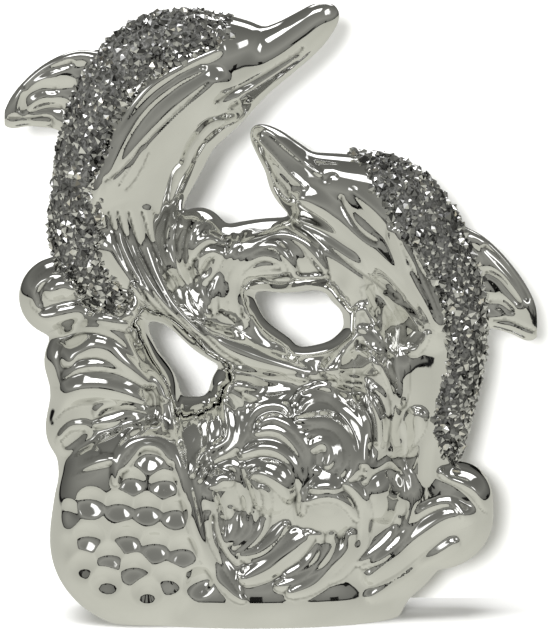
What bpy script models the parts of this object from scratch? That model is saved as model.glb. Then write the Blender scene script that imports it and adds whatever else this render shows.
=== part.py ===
# Ornament of two dolphins leaping out of curling waves: one plated ceramic casting, with a band of
# crushed stones glued along the back of each dolphin.
# Metres, +Z up, front towards -Y. Places on the figure are in hundredths of its height: x to the right,
# z up, and the depth y towards the back. The back of the figure mirrors its front.

import math
import random

import bmesh
import bpy
from mathutils import Matrix, Vector

# Height of the whole ornament, and one hundredth of it, the unit of every pose point.
HEIGHT = 0.260
UNIT = HEIGHT / 100

# Bed of glue and chips: thickness over the body, how deep it is let in, height of a chip, free joint.
STONE_BED = 0.0022
BED_RECESS = 0.0008
CHIP_RISE = 0.0013
JOINT_GAP = 0.0003

# Hollows pressed into the mound.
DIMPLE_WIDTH = 0.0086
DIMPLE_DEPTH = 0.0024
DIMPLE_SINK = 0.0006

# How fine the casting is worked: voxel of the merged clay, and the share of its faces that is kept.
CLAY_VOXEL = HEIGHT / 165
FACES_KEPT = 0.0305
SMOOTH_ROUNDS = 3

# Side of the block that trims the foot flat.
TRIM_BLOCK = 1.0

# Sections along each dolphin: x, z, half-width across the side view, half-depth front to back.
LEFT_BODY = (
    (9.4, 98.7, 0.5, 0.8), (8.7, 98.2, 1.9, 2.0), (7.3, 97.2, 2.9, 2.7), (5.0, 95.2, 3.6, 3.2),
    (1.5, 92.8, 4.2, 3.9), (-2.5, 90.8, 5.2, 5.2), (-7.0, 90.0, 7.6, 7.4), (-13.8, 87.7, 11.0, 9.2),
    (-19.2, 83.8, 11.9, 10.0), (-22.4, 77.6, 11.6, 10.2), (-25.3, 68.5, 10.1, 10.0),
    (-25.7, 60.5, 9.4, 9.3), (-21.0, 55.2, 6.3, 8.4), (-15.9, 50.6, 3.4, 7.4), (-10.5, 46.0, 3.4, 6.9),
    (-4.0, 43.0, 3.6, 6.6), (2.0, 41.2, 2.6, 6.0), (7.5, 39.6, 1.4, 5.0),
)
RIGHT_BODY = (
    (-3.2, 79.5, 0.5, 0.8), (-2.4, 78.7, 1.8, 1.9), (-0.5, 76.9, 2.9, 2.8), (2.1, 73.9, 3.9, 3.7),
    (4.8, 70.7, 5.3, 5.2), (11.2, 68.6, 6.9, 7.2), (16.6, 66.0, 8.8, 8.6), (21.0, 61.4, 8.8, 9.0),
    (24.6, 55.8, 7.9, 8.8), (27.0, 49.5, 6.8, 8.4), (27.0, 41.5, 6.0, 8.2), (25.9, 33.5, 5.3, 8.0),
    (24.8, 27.0, 4.7, 8.4), (24.5, 19.0, 5.2, 9.0),
)
BODY_SIDES = 24
SECTION_STEPS = 4

# Stone bands: section where the band starts and ends, how far round each side it reaches in degrees at
# even steps between them, and the stretch where the dorsal fin comes through.
LEFT_BAND = {
    "start": 5.75, "end": 12.15, "fin": (7.75, 9.5),
    "reach": (24, 58, 71, 71, 68, 72, 77, 80, 74, 44),
}
RIGHT_BAND = {
    "start": 4.85, "end": 12.1, "fin": (7.25, 9.15),
    "reach": (24, 66, 84, 88, 87, 84, 82, 84, 92, 88, 50),
}
BAND_ROWS = 22
CHIPS_PER_SIDE = 3
FIN_SLOT = 0.0096

# How unevenly the chips lie: along the body in sections, round it in radians, and in height.
UNEVEN_ALONG = 0.12
UNEVEN_ROUND = 0.05
UNEVEN_HEIGHT = 0.3 * CHIP_RISE

# Step over which a skin's heading and stretch are measured, in sections and in radians.
PROBE = 0.05

# Dorsal fins and flippers as ribs: x, z, radius along each.
LEFT_FIN = (
    ((-25.5, 89.0, 1.7), (-31.0, 91.0, 1.5), (-36.5, 89.0, 1.5), (-41.2, 84.8, 1.3), (-43.2, 81.3, 0.9)),
    ((-27.0, 86.0, 1.8), (-33.0, 88.0, 1.7), (-37.5, 86.5, 1.6), (-41.0, 83.5, 1.3), (-42.6, 81.2, 0.9)),
    ((-28.5, 83.0, 1.8), (-34.0, 84.6, 1.7), (-38.2, 84.0, 1.5), (-41.0, 82.4, 1.2), (-42.0, 81.0, 0.8)),
    ((-30.0, 79.5, 1.7), (-34.6, 80.9, 1.6), (-38.5, 81.2, 1.4), (-41.5, 81.0, 1.0), (-43.2, 80.8, 0.7)),
)
RIGHT_FIN = (
    ((28.0, 63.0, 1.7), (33.0, 61.0, 1.5), (37.5, 56.5, 1.5), (41.0, 51.2, 1.3), (42.0, 46.9, 0.9)),
    ((29.0, 59.0, 1.8), (34.0, 57.0, 1.7), (37.8, 53.8, 1.6), (40.3, 50.0, 1.3), (41.4, 46.7, 0.9)),
    ((29.5, 54.5, 1.8), (34.5, 53.0, 1.7), (38.0, 50.8, 1.5), (40.3, 48.0, 1.2), (41.2, 46.4, 0.8)),
    ((30.0, 49.5, 1.7), (34.8, 48.8, 1.6), (38.2, 47.6, 1.4), (40.8, 46.4, 1.0), (42.0, 46.0, 0.6)),
)
LEFT_FLIPPER = (
    (-12.2, 84.2, 0.4), (-13.6, 82.9, 1.9), (-17.5, 79.0, 3.0), (-21.5, 73.5, 2.7), (-24.6, 69.8, 0.9),
)
RIGHT_FLIPPER = ((19.3, 63.8, 0.4), (19.7, 62.2, 1.5), (21.3, 58.5, 2.2), (24.0, 53.0, 2.0), (26.6, 47.0, 0.7))
FLIPPER_LEFT_DEPTH = 9.3
FLIPPER_RIGHT_DEPTH = 8.9
FLIPPER_FLATNESS = 0.55

# Masses of the waves: centre x, centre z, half-width, half-height, half-depth.
WAVE_MASSES = (
    (-2.5, 11.0, 30.0, 14.0, 15.8), (-21.5, 12.5, 15.0, 13.5, 17.0), (-20.0, 18.0, 6.6, 10.2, 16.4),
    (-26.5, 25.5, 8.8, 6.0, 13.4), (-27.5, 37.0, 9.0, 12.0, 11.0), (-35.0, 52.3, 6.6, 6.4, 7.6),
    (2.0, 23.5, 19.5, 17.0, 14.5), (-13.6, 28.6, 4.8, 7.2, 12.2), (9.5, 22.0, 13.0, 14.0, 15.2),
    (26.3, 16.6, 9.3, 8.7, 12.0), (17.3, 42.0, 6.6, 14.0, 9.6), (-12.2, 60.4, 5.0, 6.4, 7.0),
    (-4.6, 58.6, 6.6, 5.4, 7.4), (12.4, 55.0, 4.4, 5.0, 7.6), (-9.4, 52.4, 5.0, 6.8, 6.8),
    (-5.6, 37.4, 4.9, 4.4, 9.0),
)
MASS_SIDES = 24
MASS_RINGS = 16

# Fans of curling strands: first strand, last strand (x, z), how many from one to the other, radius.
FANS = (
    # The column at the left, from its crest down to the mound.
    (((-36.4, 44.0), (-33.5, 47.0), (-28.5, 47.2), (-24.0, 44.4), (-20.0, 39.4), (-16.8, 33.5)),
     ((-36.8, 31.5), (-33.5, 34.4), (-29.0, 35.2), (-24.8, 34.6), (-20.8, 32.8), (-16.6, 29.0)), 5, 1.75),
    # Curl at the far left and its roll under the stones.
    (((-33.6, 57.8), (-37.5, 57.2), (-40.2, 54.6), (-40.4, 51.0), (-37.8, 48.3), (-33.0, 48.8)),
     ((-33.6, 55.8), (-36.2, 55.4), (-38.0, 53.8), (-38.2, 51.6), (-37.2, 50.6), (-35.0, 51.0)), 2, 1.7),
    (((-34.0, 48.6), (-30.0, 49.6), (-26.0, 48.4), (-22.8, 46.0)),
     ((-33.0, 50.0), (-29.5, 51.0), (-25.5, 49.8), (-22.2, 48.6)), 2, 1.9),
    # Edge between the column, the slot and the mound, down to the foot.
    (((-21.8, 52.0), (-21.4, 46.0), (-18.6, 40.2), (-16.0, 35.0), (-15.6, 29.0), (-14.2, 21.5)),
     ((-14.4, 22.0), (-13.6, 17.0), (-11.8, 11.4), (-9.0, 7.2), (-7.2, 5.2), (-5.6, 3.8)), 1, 1.1),
    # Ridge over the mound.
    (((-25.6, 21.5), (-25.2, 25.2), (-23.2, 28.4), (-20.0, 29.6), (-17.2, 28.2), (-15.2, 23.5)),
     ((-24.2, 23.0), (-23.4, 26.0), (-21.8, 27.4), (-20.0, 27.8), (-18.0, 27.0), (-16.6, 24.5)), 1, 1.3),
    # Locks at the lower edge of the column.
    (((-35.2, 29.0), (-33.0, 31.2), (-30.4, 31.2), (-29.6, 29.6)),
     ((-33.6, 23.8), (-31.2, 25.0), (-28.6, 25.8), (-26.4, 26.0)), 4, 1.2),
    # Swirls between the dolphins: left group, then the group over the heart.
    (((-10.4, 48.8), (-14.2, 53.5), (-16.3, 58.5), (-16.2, 63.5), (-14.6, 66.0), (-11.0, 65.6)),
     ((-10.6, 51.0), (-12.2, 55.0), (-12.4, 57.6), (-11.2, 59.2), (-9.4, 58.8), (-9.2, 56.4)), 4, 1.15),
    (((-8.6, 52.0), (-7.8, 57.0), (-4.4, 60.8), (0.0, 63.0), (4.6, 62.2), (7.6, 57.2)),
     ((-5.4, 49.4), (-4.9, 52.2), (-3.2, 54.8), (-0.8, 55.8), (1.4, 56.0), (3.4, 55.2)), 4, 1.2),
    (((-8.0, 64.0), (-5.5, 62.6), (-1.5, 63.6), (2.6, 64.6)),
     ((-6.8, 60.5), (-5.4, 61.0), (-1.5, 62.4), (2.8, 63.2)), 2, 1.3),
    # Sprays that run down from the slot and roll into the left lock.
    (((-10.2, 38.0), (-8.0, 34.5), (-7.3, 31.0), (-8.2, 28.2), (-11.6, 26.6), (-13.4, 22.8)),
     ((-8.0, 37.6), (-5.4, 34.8), (-4.8, 31.4), (-5.8, 27.8), (-8.6, 25.6), (-10.8, 21.6)), 3, 0.95),
    # Crest under the left tail.
    (((-9.6, 39.2), (-5.0, 38.2), (0.0, 37.6), (4.6, 38.6)),
     ((-5.0, 36.4), (-2.0, 35.8), (1.2, 36.2), (5.0, 38.0)), 2, 1.1),
    # Arches of the middle lock.
    (((-4.0, 32.0), (-1.6, 34.4), (1.6, 33.8), (4.4, 29.6), (5.4, 25.0), (4.6, 18.5)),
     ((-4.4, 23.4), (-2.4, 24.0), (-0.2, 23.2), (1.6, 21.4), (2.4, 19.4), (2.4, 16.5)), 4, 1.15),
    # Rings of the right lock, out to the tail of the right dolphin.
    (((4.6, 29.2), (7.6, 30.2), (10.0, 28.4), (10.4, 25.4), (8.6, 23.4), (6.4, 23.8)),
     ((8.8, 38.2), (13.2, 37.0), (16.8, 33.0), (17.4, 29.0), (16.4, 25.4), (13.6, 22.6)), 5, 1.15),
    (((18.0, 38.0), (18.8, 34.5), (18.9, 31.0), (18.0, 26.0)),
     ((20.2, 41.0), (20.5, 36.5), (20.4, 32.5), (19.4, 27.0)), 2, 0.9),
    # Long leaves from the knot under the heart up to the right.
    (((8.2, 39.4), (11.0, 40.6), (14.0, 40.4), (18.4, 37.0)),
     ((8.0, 41.0), (12.0, 45.2), (15.6, 44.6), (19.4, 38.8)), 3, 1.4),
    (((12.6, 46.6), (13.8, 50.0), (16.0, 52.6), (18.4, 54.4)),
     ((17.6, 45.4), (19.6, 47.6), (21.6, 48.0), (23.8, 46.2)), 4, 1.2),
    # Strands that sweep down to the point of the foot.
    (((-10.6, 17.4), (-10.2, 13.0), (-8.6, 9.2), (-5.6, 4.6)),
     ((-9.0, 17.0), (-8.4, 13.0), (-7.2, 10.4), (-5.0, 8.2)), 2, 0.9),
    (((-5.6, 24.0), (-4.4, 18.5), (-5.2, 14.6), (-7.6, 12.2)),
     ((4.2, 14.2), (1.4, 12.2), (-1.6, 10.0), (-4.6, 9.4)), 5, 1.0),
    # Tongues under the third lock, and the lock's own rim.
    (((-3.6, 7.8), (0.6, 9.8), (3.8, 12.2), (6.0, 12.4)),
     ((7.0, 6.4), (10.0, 8.4), (12.4, 11.6), (13.2, 15.4)), 4, 1.15),
    (((5.2, 22.6), (8.8, 23.2), (12.4, 21.4), (14.3, 17.4), (13.8, 12.0), (10.6, 7.4)),
     ((5.4, 18.8), (8.4, 20.0), (10.8, 19.2), (12.2, 17.2), (12.0, 15.6), (10.8, 14.6)), 2, 1.2),
    # Fluke at the foot of the right dolphin.
    (((14.8, 21.6), (16.6, 24.6), (20.0, 24.6), (22.2, 20.4), (21.6, 15.4), (14.2, 9.0)),
     ((15.4, 20.4), (17.0, 21.4), (18.8, 21.2), (19.6, 19.0), (19.0, 14.6), (13.8, 9.4)), 2, 1.15),
    # Lobe at the lower right.
    (((14.0, 8.2), (19.0, 11.6), (22.6, 16.2), (26.0, 18.2), (29.4, 18.2), (30.6, 16.0)),
     ((15.6, 4.0), (21.4, 5.2), (26.2, 8.4), (30.4, 11.8), (33.4, 14.2), (34.2, 17.4)), 4, 1.35),
    (((26.6, 24.2), (30.0, 23.4), (33.0, 20.8), (34.4, 17.6)),
     ((25.5, 22.0), (29.0, 22.0), (31.8, 20.0), (33.6, 17.2)), 1, 1.5),
)
STRAND_SIDES = 2
STRAND_STEPS = 4
STRAND_LIFT = 0.35
STRAND_END = 0.3

# The strands and dimples are placed as seen by someone who looks down on them by this slope.
SIGHT_SLOPE = 0.105

# The back is plainer: only the broad strands, sunk deeper into the wave.
BACK_LIFT = -0.35
BROAD_STRAND = 1.15

# Bridge over the heart-shaped opening, the rim round it, and the edge of the left column along the slot:
# x, z, half-width, half-depth.
HEART_TOP = (
    (-9.0, 60.0, 3.0, 6.6), (-4.0, 59.4, 5.2, 6.6), (1.0, 59.0, 6.1, 6.8), (6.0, 58.8, 5.5, 7.0),
    (12.0, 57.4, 4.4, 7.4),
)
HEART_LEFT = ((-7.0, 56.0, 2.2, 6.4), (-5.6, 51.0, 2.5, 6.4), (-3.0, 46.8, 2.2, 6.4), (1.5, 43.8, 1.8, 6.0))
HEART_FOOT = ((0.5, 42.8, 1.3, 5.6), (5.0, 42.2, 1.7, 6.0), (9.5, 43.2, 1.7, 6.6), (13.0, 46.0, 1.9, 7.4))
COLUMN_EDGE = (
    (-22.8, 53.0, 1.5, 6.0), (-22.4, 47.0, 1.6, 6.6), (-20.6, 42.3, 1.8, 7.6), (-18.1, 38.2, 2.1, 9.2),
    (-17.2, 33.0, 2.2, 11.0), (-16.6, 26.0, 2.2, 13.0),
)

# Middle of each dimple of the mound, row by row from the top: first x, z, last x, z, how many.
DIMPLE_ROWS = (
    (-20.0, 25.9, -20.0, 25.9, 1), (-23.0, 22.3, -17.8, 21.9, 2), (-29.6, 18.8, -15.9, 17.2, 4),
    (-33.8, 17.0, -33.8, 17.0, 1), (-30.0, 13.0, -30.0, 13.0, 1), (-23.7, 13.0, -14.8, 11.0, 3),
    (-34.0, 11.2, -34.0, 11.2, 1), (-26.6, 10.0, -26.6, 10.0, 1), (-31.0, 8.4, -31.0, 8.4, 1),
    (-22.6, 8.0, -22.6, 8.0, 1), (-27.3, 6.0, -27.3, 6.0, 1), (-17.1, 6.2, -12.4, 5.9, 2),
    (-20.4, 4.3, -20.4, 4.3, 1),
)

PLATE_COLOUR = (0.62, 0.62, 0.58, 1.0)
STONE_COLOUR = (0.16, 0.16, 0.17, 1.0)


def clear_scene():
    for thing in list(bpy.data.objects):
        bpy.data.objects.remove(thing, do_unlink=True)


def make_material(name, colour, roughness, metallic):
    material = bpy.data.materials.new(name)
    material.use_nodes = True
    shader = material.node_tree.nodes["Principled BSDF"]
    shader.inputs["Base Color"].default_value = colour
    shader.inputs["Roughness"].default_value = roughness
    shader.inputs["Metallic"].default_value = metallic
    return material


def collection(name):
    group = bpy.data.collections.new(name)
    bpy.context.scene.collection.children.link(group)
    return group


def place(x, y, z):
    return Vector((x, y, z)) * UNIT


def along(points, position):
    """Point of the smooth curve through the points; position counts points, with fractions."""
    index = min(int(position), len(points) - 2)
    t = position - index
    before = points[max(index - 1, 0)]
    after = points[min(index + 2, len(points) - 1)]
    blended = []
    for p0, p1, p2, p3 in zip(before, points[index], points[index + 1], after):
        bend = 2 * p0 - 5 * p1 + 4 * p2 - p3
        curl = 3 * p1 - p0 - 3 * p2 + p3
        blended.append(p1 + 0.5 * t * (p2 - p0 + t * (bend + t * curl)))
    return blended


def wave_depth(x, z):
    """How far the wave masses reach towards the viewer at this place."""
    deepest = 0
    for centre_x, centre_z, wide, high, deep in WAVE_MASSES:
        inside = 1 - ((x - centre_x) / wide) ** 2 - ((z - centre_z) / high) ** 2
        if inside > 0:
            deepest = max(deepest, deep * math.sqrt(inside))
    return deepest


def on_wave(x, z):
    """Height and depth of the place that shows at x, z to someone who looks a little down on the front."""
    raised = z + SIGHT_SLOPE * wave_depth(x, z)
    return raised, wave_depth(x, raised)


class Spine:
    """A dolphin's body: its sections, and any place on or over its skin."""

    def __init__(self, sections, turn=1):
        self.sections = sections
        self.turn = turn

    def skin(self, position, angle, over):
        """Place at an angle from the back's ridge, this far (metres) over the skin."""
        x, z, wide, deep = along(self.sections, position)
        low = along(self.sections, max(position - PROBE, 0))
        high = along(self.sections, min(position + PROBE, len(self.sections) - 1))
        heading = Vector((high[0] - low[0], 0, high[1] - low[1])).normalized()
        dorsal = Vector((heading.z, 0, -heading.x)) * self.turn
        reach = dorsal * math.cos(angle) * (wide * UNIT + over)
        aside = Vector((0, 1, 0)) * math.sin(angle) * (deep * UNIT + over)
        return place(x, 0, z) + reach + aside


def loft(mesh, spine):
    """Skin over the sections of a body, closed at both ends."""
    last = len(spine.sections) - 1
    rings = []
    for step in range(last * SECTION_STEPS + 1):
        ring = []
        for side in range(BODY_SIDES):
            angle = 2 * math.pi * side / BODY_SIDES
            ring.append(mesh.verts.new(spine.skin(step / SECTION_STEPS, angle, 0)))
        rings.append(ring)
    for ring, following in zip(rings, rings[1:]):
        for side in range(BODY_SIDES):
            other = (side + 1) % BODY_SIDES
            mesh.faces.new((ring[side], ring[other], following[other], following[side]))
    mesh.faces.new(rings[0])
    mesh.faces.new(list(reversed(rings[-1])))


def lump(mesh, centre_x, centre_z, wide, high, deep):
    size = Matrix.Diagonal((wide * UNIT, deep * UNIT, high * UNIT, 1))
    spot = Matrix.Translation(place(centre_x, 0, centre_z))
    bmesh.ops.create_uvsphere(mesh, u_segments=MASS_SIDES, v_segments=MASS_RINGS, radius=1, matrix=spot @ size)


def new_curve(name):
    curve = bpy.data.curves.new(name, "CURVE")
    curve.dimensions = "3D"
    curve.bevel_depth = UNIT
    curve.bevel_resolution = STRAND_SIDES
    curve.use_fill_caps = True
    curve.twist_mode = "Z_UP"
    return curve


def add_rod(curve, stations):
    """A round rod through stations of x, y, z and radius."""
    rod = curve.splines.new("POLY")
    rod.points.add(len(stations) - 1)
    for point, (x, y, z, radius) in zip(rod.points, stations):
        point.co = place(x, y, z).to_4d()
        point.radius = radius


def add_strand(curve, path, radius):
    """A strand that lies on the waves, swelling from its ends, on the front and on the back."""
    steps = (len(path) - 1) * STRAND_STEPS
    sides = ((-1, STRAND_LIFT), (1, BACK_LIFT)) if radius >= BROAD_STRAND else ((-1, STRAND_LIFT),)
    for side, lift in sides:
        stations = []
        for step in range(steps + 1):
            x, seen = along(path, step / STRAND_STEPS)
            z, deep = on_wave(x, seen)
            swell = math.sqrt(1 - abs(2 * step / steps - 1) ** 3)
            thick = radius * (STRAND_END + (1 - STRAND_END) * swell)
            stations.append((x, side * (deep + lift * radius), z, thick))
        add_rod(curve, stations)


def add_ribs(curve, ribs, depth=0, flatness=1):
    """Ribs of a fin or flipper, given by x, z, radius."""
    for rib in ribs:
        steps = (len(rib) - 1) * STRAND_STEPS
        stations = []
        for step in range(steps + 1):
            x, z, radius = along(rib, step / STRAND_STEPS)
            stations.append((x, depth / flatness, z, radius))
        add_rod(curve, stations)


def blend(first, last, share):
    return [(a[0] + share * (b[0] - a[0]), a[1] + share * (b[1] - a[1])) for a, b in zip(first, last)]


def curve_to_mesh(curve, squash=1):
    """Mesh of a curve, flattened front to back."""
    maker = bpy.data.objects.new(curve.name, curve)
    bpy.context.scene.collection.objects.link(maker)
    bpy.context.view_layer.update()
    mesh = bpy.data.meshes.new_from_object(maker.evaluated_get(bpy.context.evaluated_depsgraph_get()))
    mesh.transform(Matrix.Diagonal((1, squash, 1, 1)))
    bpy.data.objects.remove(maker, do_unlink=True)
    return mesh


def add_mesh_object(name, mesh, group, material=None):
    thing = bpy.data.objects.new(name, mesh)
    group.objects.link(thing)
    if material:
        mesh.materials.append(material)
    return thing


def shape_clay(left, right):
    """All that is cast in one: bodies, fins, flippers, wave masses and strands."""
    clay = bmesh.new()
    loft(clay, left)
    loft(clay, right)
    for sections in (HEART_TOP, HEART_LEFT, HEART_FOOT, COLUMN_EDGE):
        loft(clay, Spine(sections))
    for mass in WAVE_MASSES:
        lump(clay, *mass)

    strands = new_curve("strands")
    for first, last, count, radius in FANS:
        for number in range(count):
            add_strand(strands, blend(first, last, number / max(count - 1, 1)), radius)
    add_ribs(strands, LEFT_FIN + RIGHT_FIN)
    clay.from_mesh(curve_to_mesh(strands))

    flippers = new_curve("flippers")
    for side in (-1, 1):
        add_ribs(flippers, (LEFT_FLIPPER,), side * FLIPPER_LEFT_DEPTH, FLIPPER_FLATNESS)
        add_ribs(flippers, (RIGHT_FLIPPER,), side * FLIPPER_RIGHT_DEPTH, FLIPPER_FLATNESS)
    clay.from_mesh(curve_to_mesh(flippers, FLIPPER_FLATNESS))

    bmesh.ops.recalc_face_normals(clay, faces=clay.faces)
    mesh = bpy.data.meshes.new("figure")
    clay.to_mesh(mesh)
    clay.free()
    return mesh


def band_grid(band):
    """Rows along the body and columns round it, and which cells the stones cover."""
    start, end = band["start"], band["end"]
    rows = [start + (end - start) * row / BAND_ROWS for row in range(BAND_ROWS + 1)]
    columns = 2 * CHIPS_PER_SIDE + 1
    covered = []
    for row in range(BAND_ROWS):
        middle = (rows[row] + rows[row + 1]) / 2
        at_fin = band["fin"][0] < middle < band["fin"][1]
        covered.append([not (at_fin and column == CHIPS_PER_SIDE) for column in range(columns)])
    return rows, covered


def band_shell(name, spine, band, under, over, grow, rough):
    """Closed shell along the back, from one height over the skin to another, its edges grown outwards."""
    rows, covered = band_grid(band)
    columns = len(covered[0])
    chance = random.Random(name)

    def is_covered(row, column):
        return 0 <= row < BAND_ROWS and 0 <= column < columns and covered[row][column]

    def corner(row, column, height):
        around = [(r, c) for r in (-1, 0) for c in (-1, 0) if is_covered(row + r, column + c)]
        lean_row = sum(2 * r + 1 for r, c in around)
        lean_column = sum(2 * c + 1 for r, c in around)
        deep = along(spine.sections, rows[row])[3] * UNIT
        slot = math.asin(FIN_SLOT / 2 / deep)
        share = row / BAND_ROWS * (len(band["reach"]) - 1)
        edge = math.radians(along([(value,) for value in band["reach"]], share)[0])
        step = abs(column - columns / 2) - 0.5
        angle = slot + (edge - slot) * step / CHIPS_PER_SIDE
        angle = math.copysign(angle, column - columns / 2)
        ahead = spine.skin(rows[row] + PROBE, angle, 0) - spine.skin(rows[row] - PROBE, angle, 0)
        aside = spine.skin(rows[row], angle + PROBE, 0) - spine.skin(rows[row], angle - PROBE, 0)
        position = rows[row]
        if lean_row:
            position -= math.copysign(grow * 2 * PROBE / ahead.length, lean_row)
        if lean_column:
            angle -= math.copysign(grow * 2 * PROBE / aside.length, lean_column)
        if rough and height == over and lean_row == 0 and lean_column == 0:
            position += chance.uniform(-UNEVEN_ALONG, UNEVEN_ALONG)
            angle += chance.uniform(-UNEVEN_ROUND, UNEVEN_ROUND)
            height += chance.uniform(-UNEVEN_HEIGHT, UNEVEN_HEIGHT)
        return spine.skin(position, angle, height)

    shell = bmesh.new()
    inner = {}
    outer = {}
    for row in range(BAND_ROWS + 1):
        for column in range(columns + 1):
            inner[row, column] = shell.verts.new(corner(row, column, under))
            outer[row, column] = shell.verts.new(corner(row, column, over))
    tops = []
    for row in range(BAND_ROWS):
        for column in range(columns):
            if not covered[row][column]:
                continue
            ring = ((row, column), (row, column + 1), (row + 1, column + 1), (row + 1, column))
            tops.append(shell.faces.new([outer[key] for key in ring]))
            for half in ((0, 2, 1), (0, 3, 2)):
                shell.faces.new([inner[ring[number]] for number in half])
            beyond = ((row - 1, column), (row, column + 1), (row + 1, column), (row, column - 1))
            for number, neighbour in enumerate(beyond):
                if not is_covered(*neighbour):
                    a, b = ring[number], ring[(number + 1) % 4]
                    shell.faces.new((outer[b], outer[a], inner[a], inner[b]))
    loose = [vert for vert in shell.verts if not vert.link_faces]
    bmesh.ops.delete(shell, geom=loose, context="VERTS")
    bmesh.ops.recalc_face_normals(shell, faces=shell.faces)
    if rough:
        bmesh.ops.poke(shell, faces=tops, offset=CHIP_RISE)
    mesh = bpy.data.meshes.new(name)
    shell.to_mesh(mesh)
    shell.free()
    return mesh


def dimple_mesh():
    """Shallow bowls in the mound's front."""
    bowls = bmesh.new()
    radius = (DIMPLE_WIDTH ** 2 / 4 + DIMPLE_DEPTH ** 2) / (2 * DIMPLE_DEPTH)
    for first_x, first_z, last_x, last_z, count in DIMPLE_ROWS:
        for number in range(count):
            share = number / max(count - 1, 1)
            x = first_x + share * (last_x - first_x)
            z, deep = on_wave(x, first_z + share * (last_z - first_z))
            skin = place(x, -deep, z)
            nudge = 0.5
            slope_x = (wave_depth(x + nudge, z) - wave_depth(x - nudge, z)) / (2 * nudge)
            slope_z = (wave_depth(x, z + nudge) - wave_depth(x, z - nudge)) / (2 * nudge)
            outwards = Vector((-slope_x, -1, -slope_z)).normalized()
            spot = skin + outwards * (radius - DIMPLE_DEPTH - DIMPLE_SINK)
            turn = outwards.to_track_quat("Z", "Y").to_matrix().to_4x4()
            matrix = Matrix.Translation(spot) @ turn
            bmesh.ops.create_uvsphere(bowls, u_segments=8, v_segments=10, radius=radius, matrix=matrix)
    mesh = bpy.data.meshes.new("dimple_bowls")
    bowls.to_mesh(mesh)
    bowls.free()
    return mesh


def add_cut(target, cutter):
    cutter.display_type = "WIRE"
    cutter.hide_render = True
    cut = target.modifiers.new(cutter.name, "BOOLEAN")
    cut.operation = "DIFFERENCE"
    cut.solver = "EXACT"
    cut.object = cutter


def main():
    clear_scene()
    pieces = collection("dolphin_pair_ornament")
    cutters = collection("cutters")
    plate = make_material("silver_plate", PLATE_COLOUR, 0.12, 1.0)
    stones = make_material("crushed_stones", STONE_COLOUR, 0.35, 0.6)

    left = Spine(LEFT_BODY)
    right = Spine(RIGHT_BODY, -1)

    figure = add_mesh_object("figure", shape_clay(left, right), pieces, plate)
    merge = figure.modifiers.new("merge clay", "REMESH")
    merge.mode = "VOXEL"
    merge.voxel_size = CLAY_VOXEL
    merge.adaptivity = 0
    soften = figure.modifiers.new("soften", "SMOOTH")
    soften.iterations = SMOOTH_ROUNDS
    facet = figure.modifiers.new("facet", "DECIMATE")
    facet.ratio = FACES_KEPT

    foot = bmesh.new()
    bmesh.ops.create_cube(foot, size=TRIM_BLOCK, matrix=Matrix.Translation((0, 0, -TRIM_BLOCK / 2)))
    foot_mesh = bpy.data.meshes.new("below_the_foot")
    foot.to_mesh(foot_mesh)
    foot.free()
    add_cut(figure, add_mesh_object("below_the_foot", foot_mesh, cutters))
    add_cut(figure, add_mesh_object("dimple_bowls", dimple_mesh(), cutters))

    clear = STONE_BED + 2 * CHIP_RISE
    for name, spine, band in (("left", left, LEFT_BAND), ("right", right, RIGHT_BAND)):
        crust = band_shell(name + "_dolphin_stones", spine, band, -BED_RECESS, STONE_BED, 0, True)
        add_mesh_object(name + "_dolphin_stones", crust, pieces, stones)
        bed = band_shell(name + "_bed", spine, band, -BED_RECESS - JOINT_GAP, clear, JOINT_GAP, False)
        add_cut(figure, add_mesh_object(name + "_bed", bed, cutters))
    cutters.hide_render = True


main()
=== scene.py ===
# Looks of the plated ornament: two dolphins leaping out of curling waves, crushed stones along their backs.
# Metres, +Z up, front towards -Y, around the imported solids.

import math
import random

import bmesh
import bpy
import numpy as np
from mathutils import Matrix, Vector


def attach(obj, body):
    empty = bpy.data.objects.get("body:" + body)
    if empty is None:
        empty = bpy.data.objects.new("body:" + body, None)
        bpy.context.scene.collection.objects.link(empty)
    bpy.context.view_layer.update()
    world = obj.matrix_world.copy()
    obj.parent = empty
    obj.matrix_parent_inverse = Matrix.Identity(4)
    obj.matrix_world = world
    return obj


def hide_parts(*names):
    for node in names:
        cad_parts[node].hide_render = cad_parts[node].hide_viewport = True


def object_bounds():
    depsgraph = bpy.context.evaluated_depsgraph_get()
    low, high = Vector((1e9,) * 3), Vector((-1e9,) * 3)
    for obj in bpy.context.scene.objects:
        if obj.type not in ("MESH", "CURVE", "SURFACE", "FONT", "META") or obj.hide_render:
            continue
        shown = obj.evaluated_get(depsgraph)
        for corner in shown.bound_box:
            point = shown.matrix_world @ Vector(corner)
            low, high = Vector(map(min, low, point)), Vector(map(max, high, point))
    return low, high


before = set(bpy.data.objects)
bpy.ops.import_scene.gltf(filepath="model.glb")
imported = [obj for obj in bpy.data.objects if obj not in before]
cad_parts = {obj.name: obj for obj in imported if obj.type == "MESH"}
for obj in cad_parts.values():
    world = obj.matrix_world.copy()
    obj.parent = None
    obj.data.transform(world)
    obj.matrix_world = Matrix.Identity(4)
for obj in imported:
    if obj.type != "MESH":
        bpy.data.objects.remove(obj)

import openvdb
from mathutils import Vector

cad_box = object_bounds()

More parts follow.
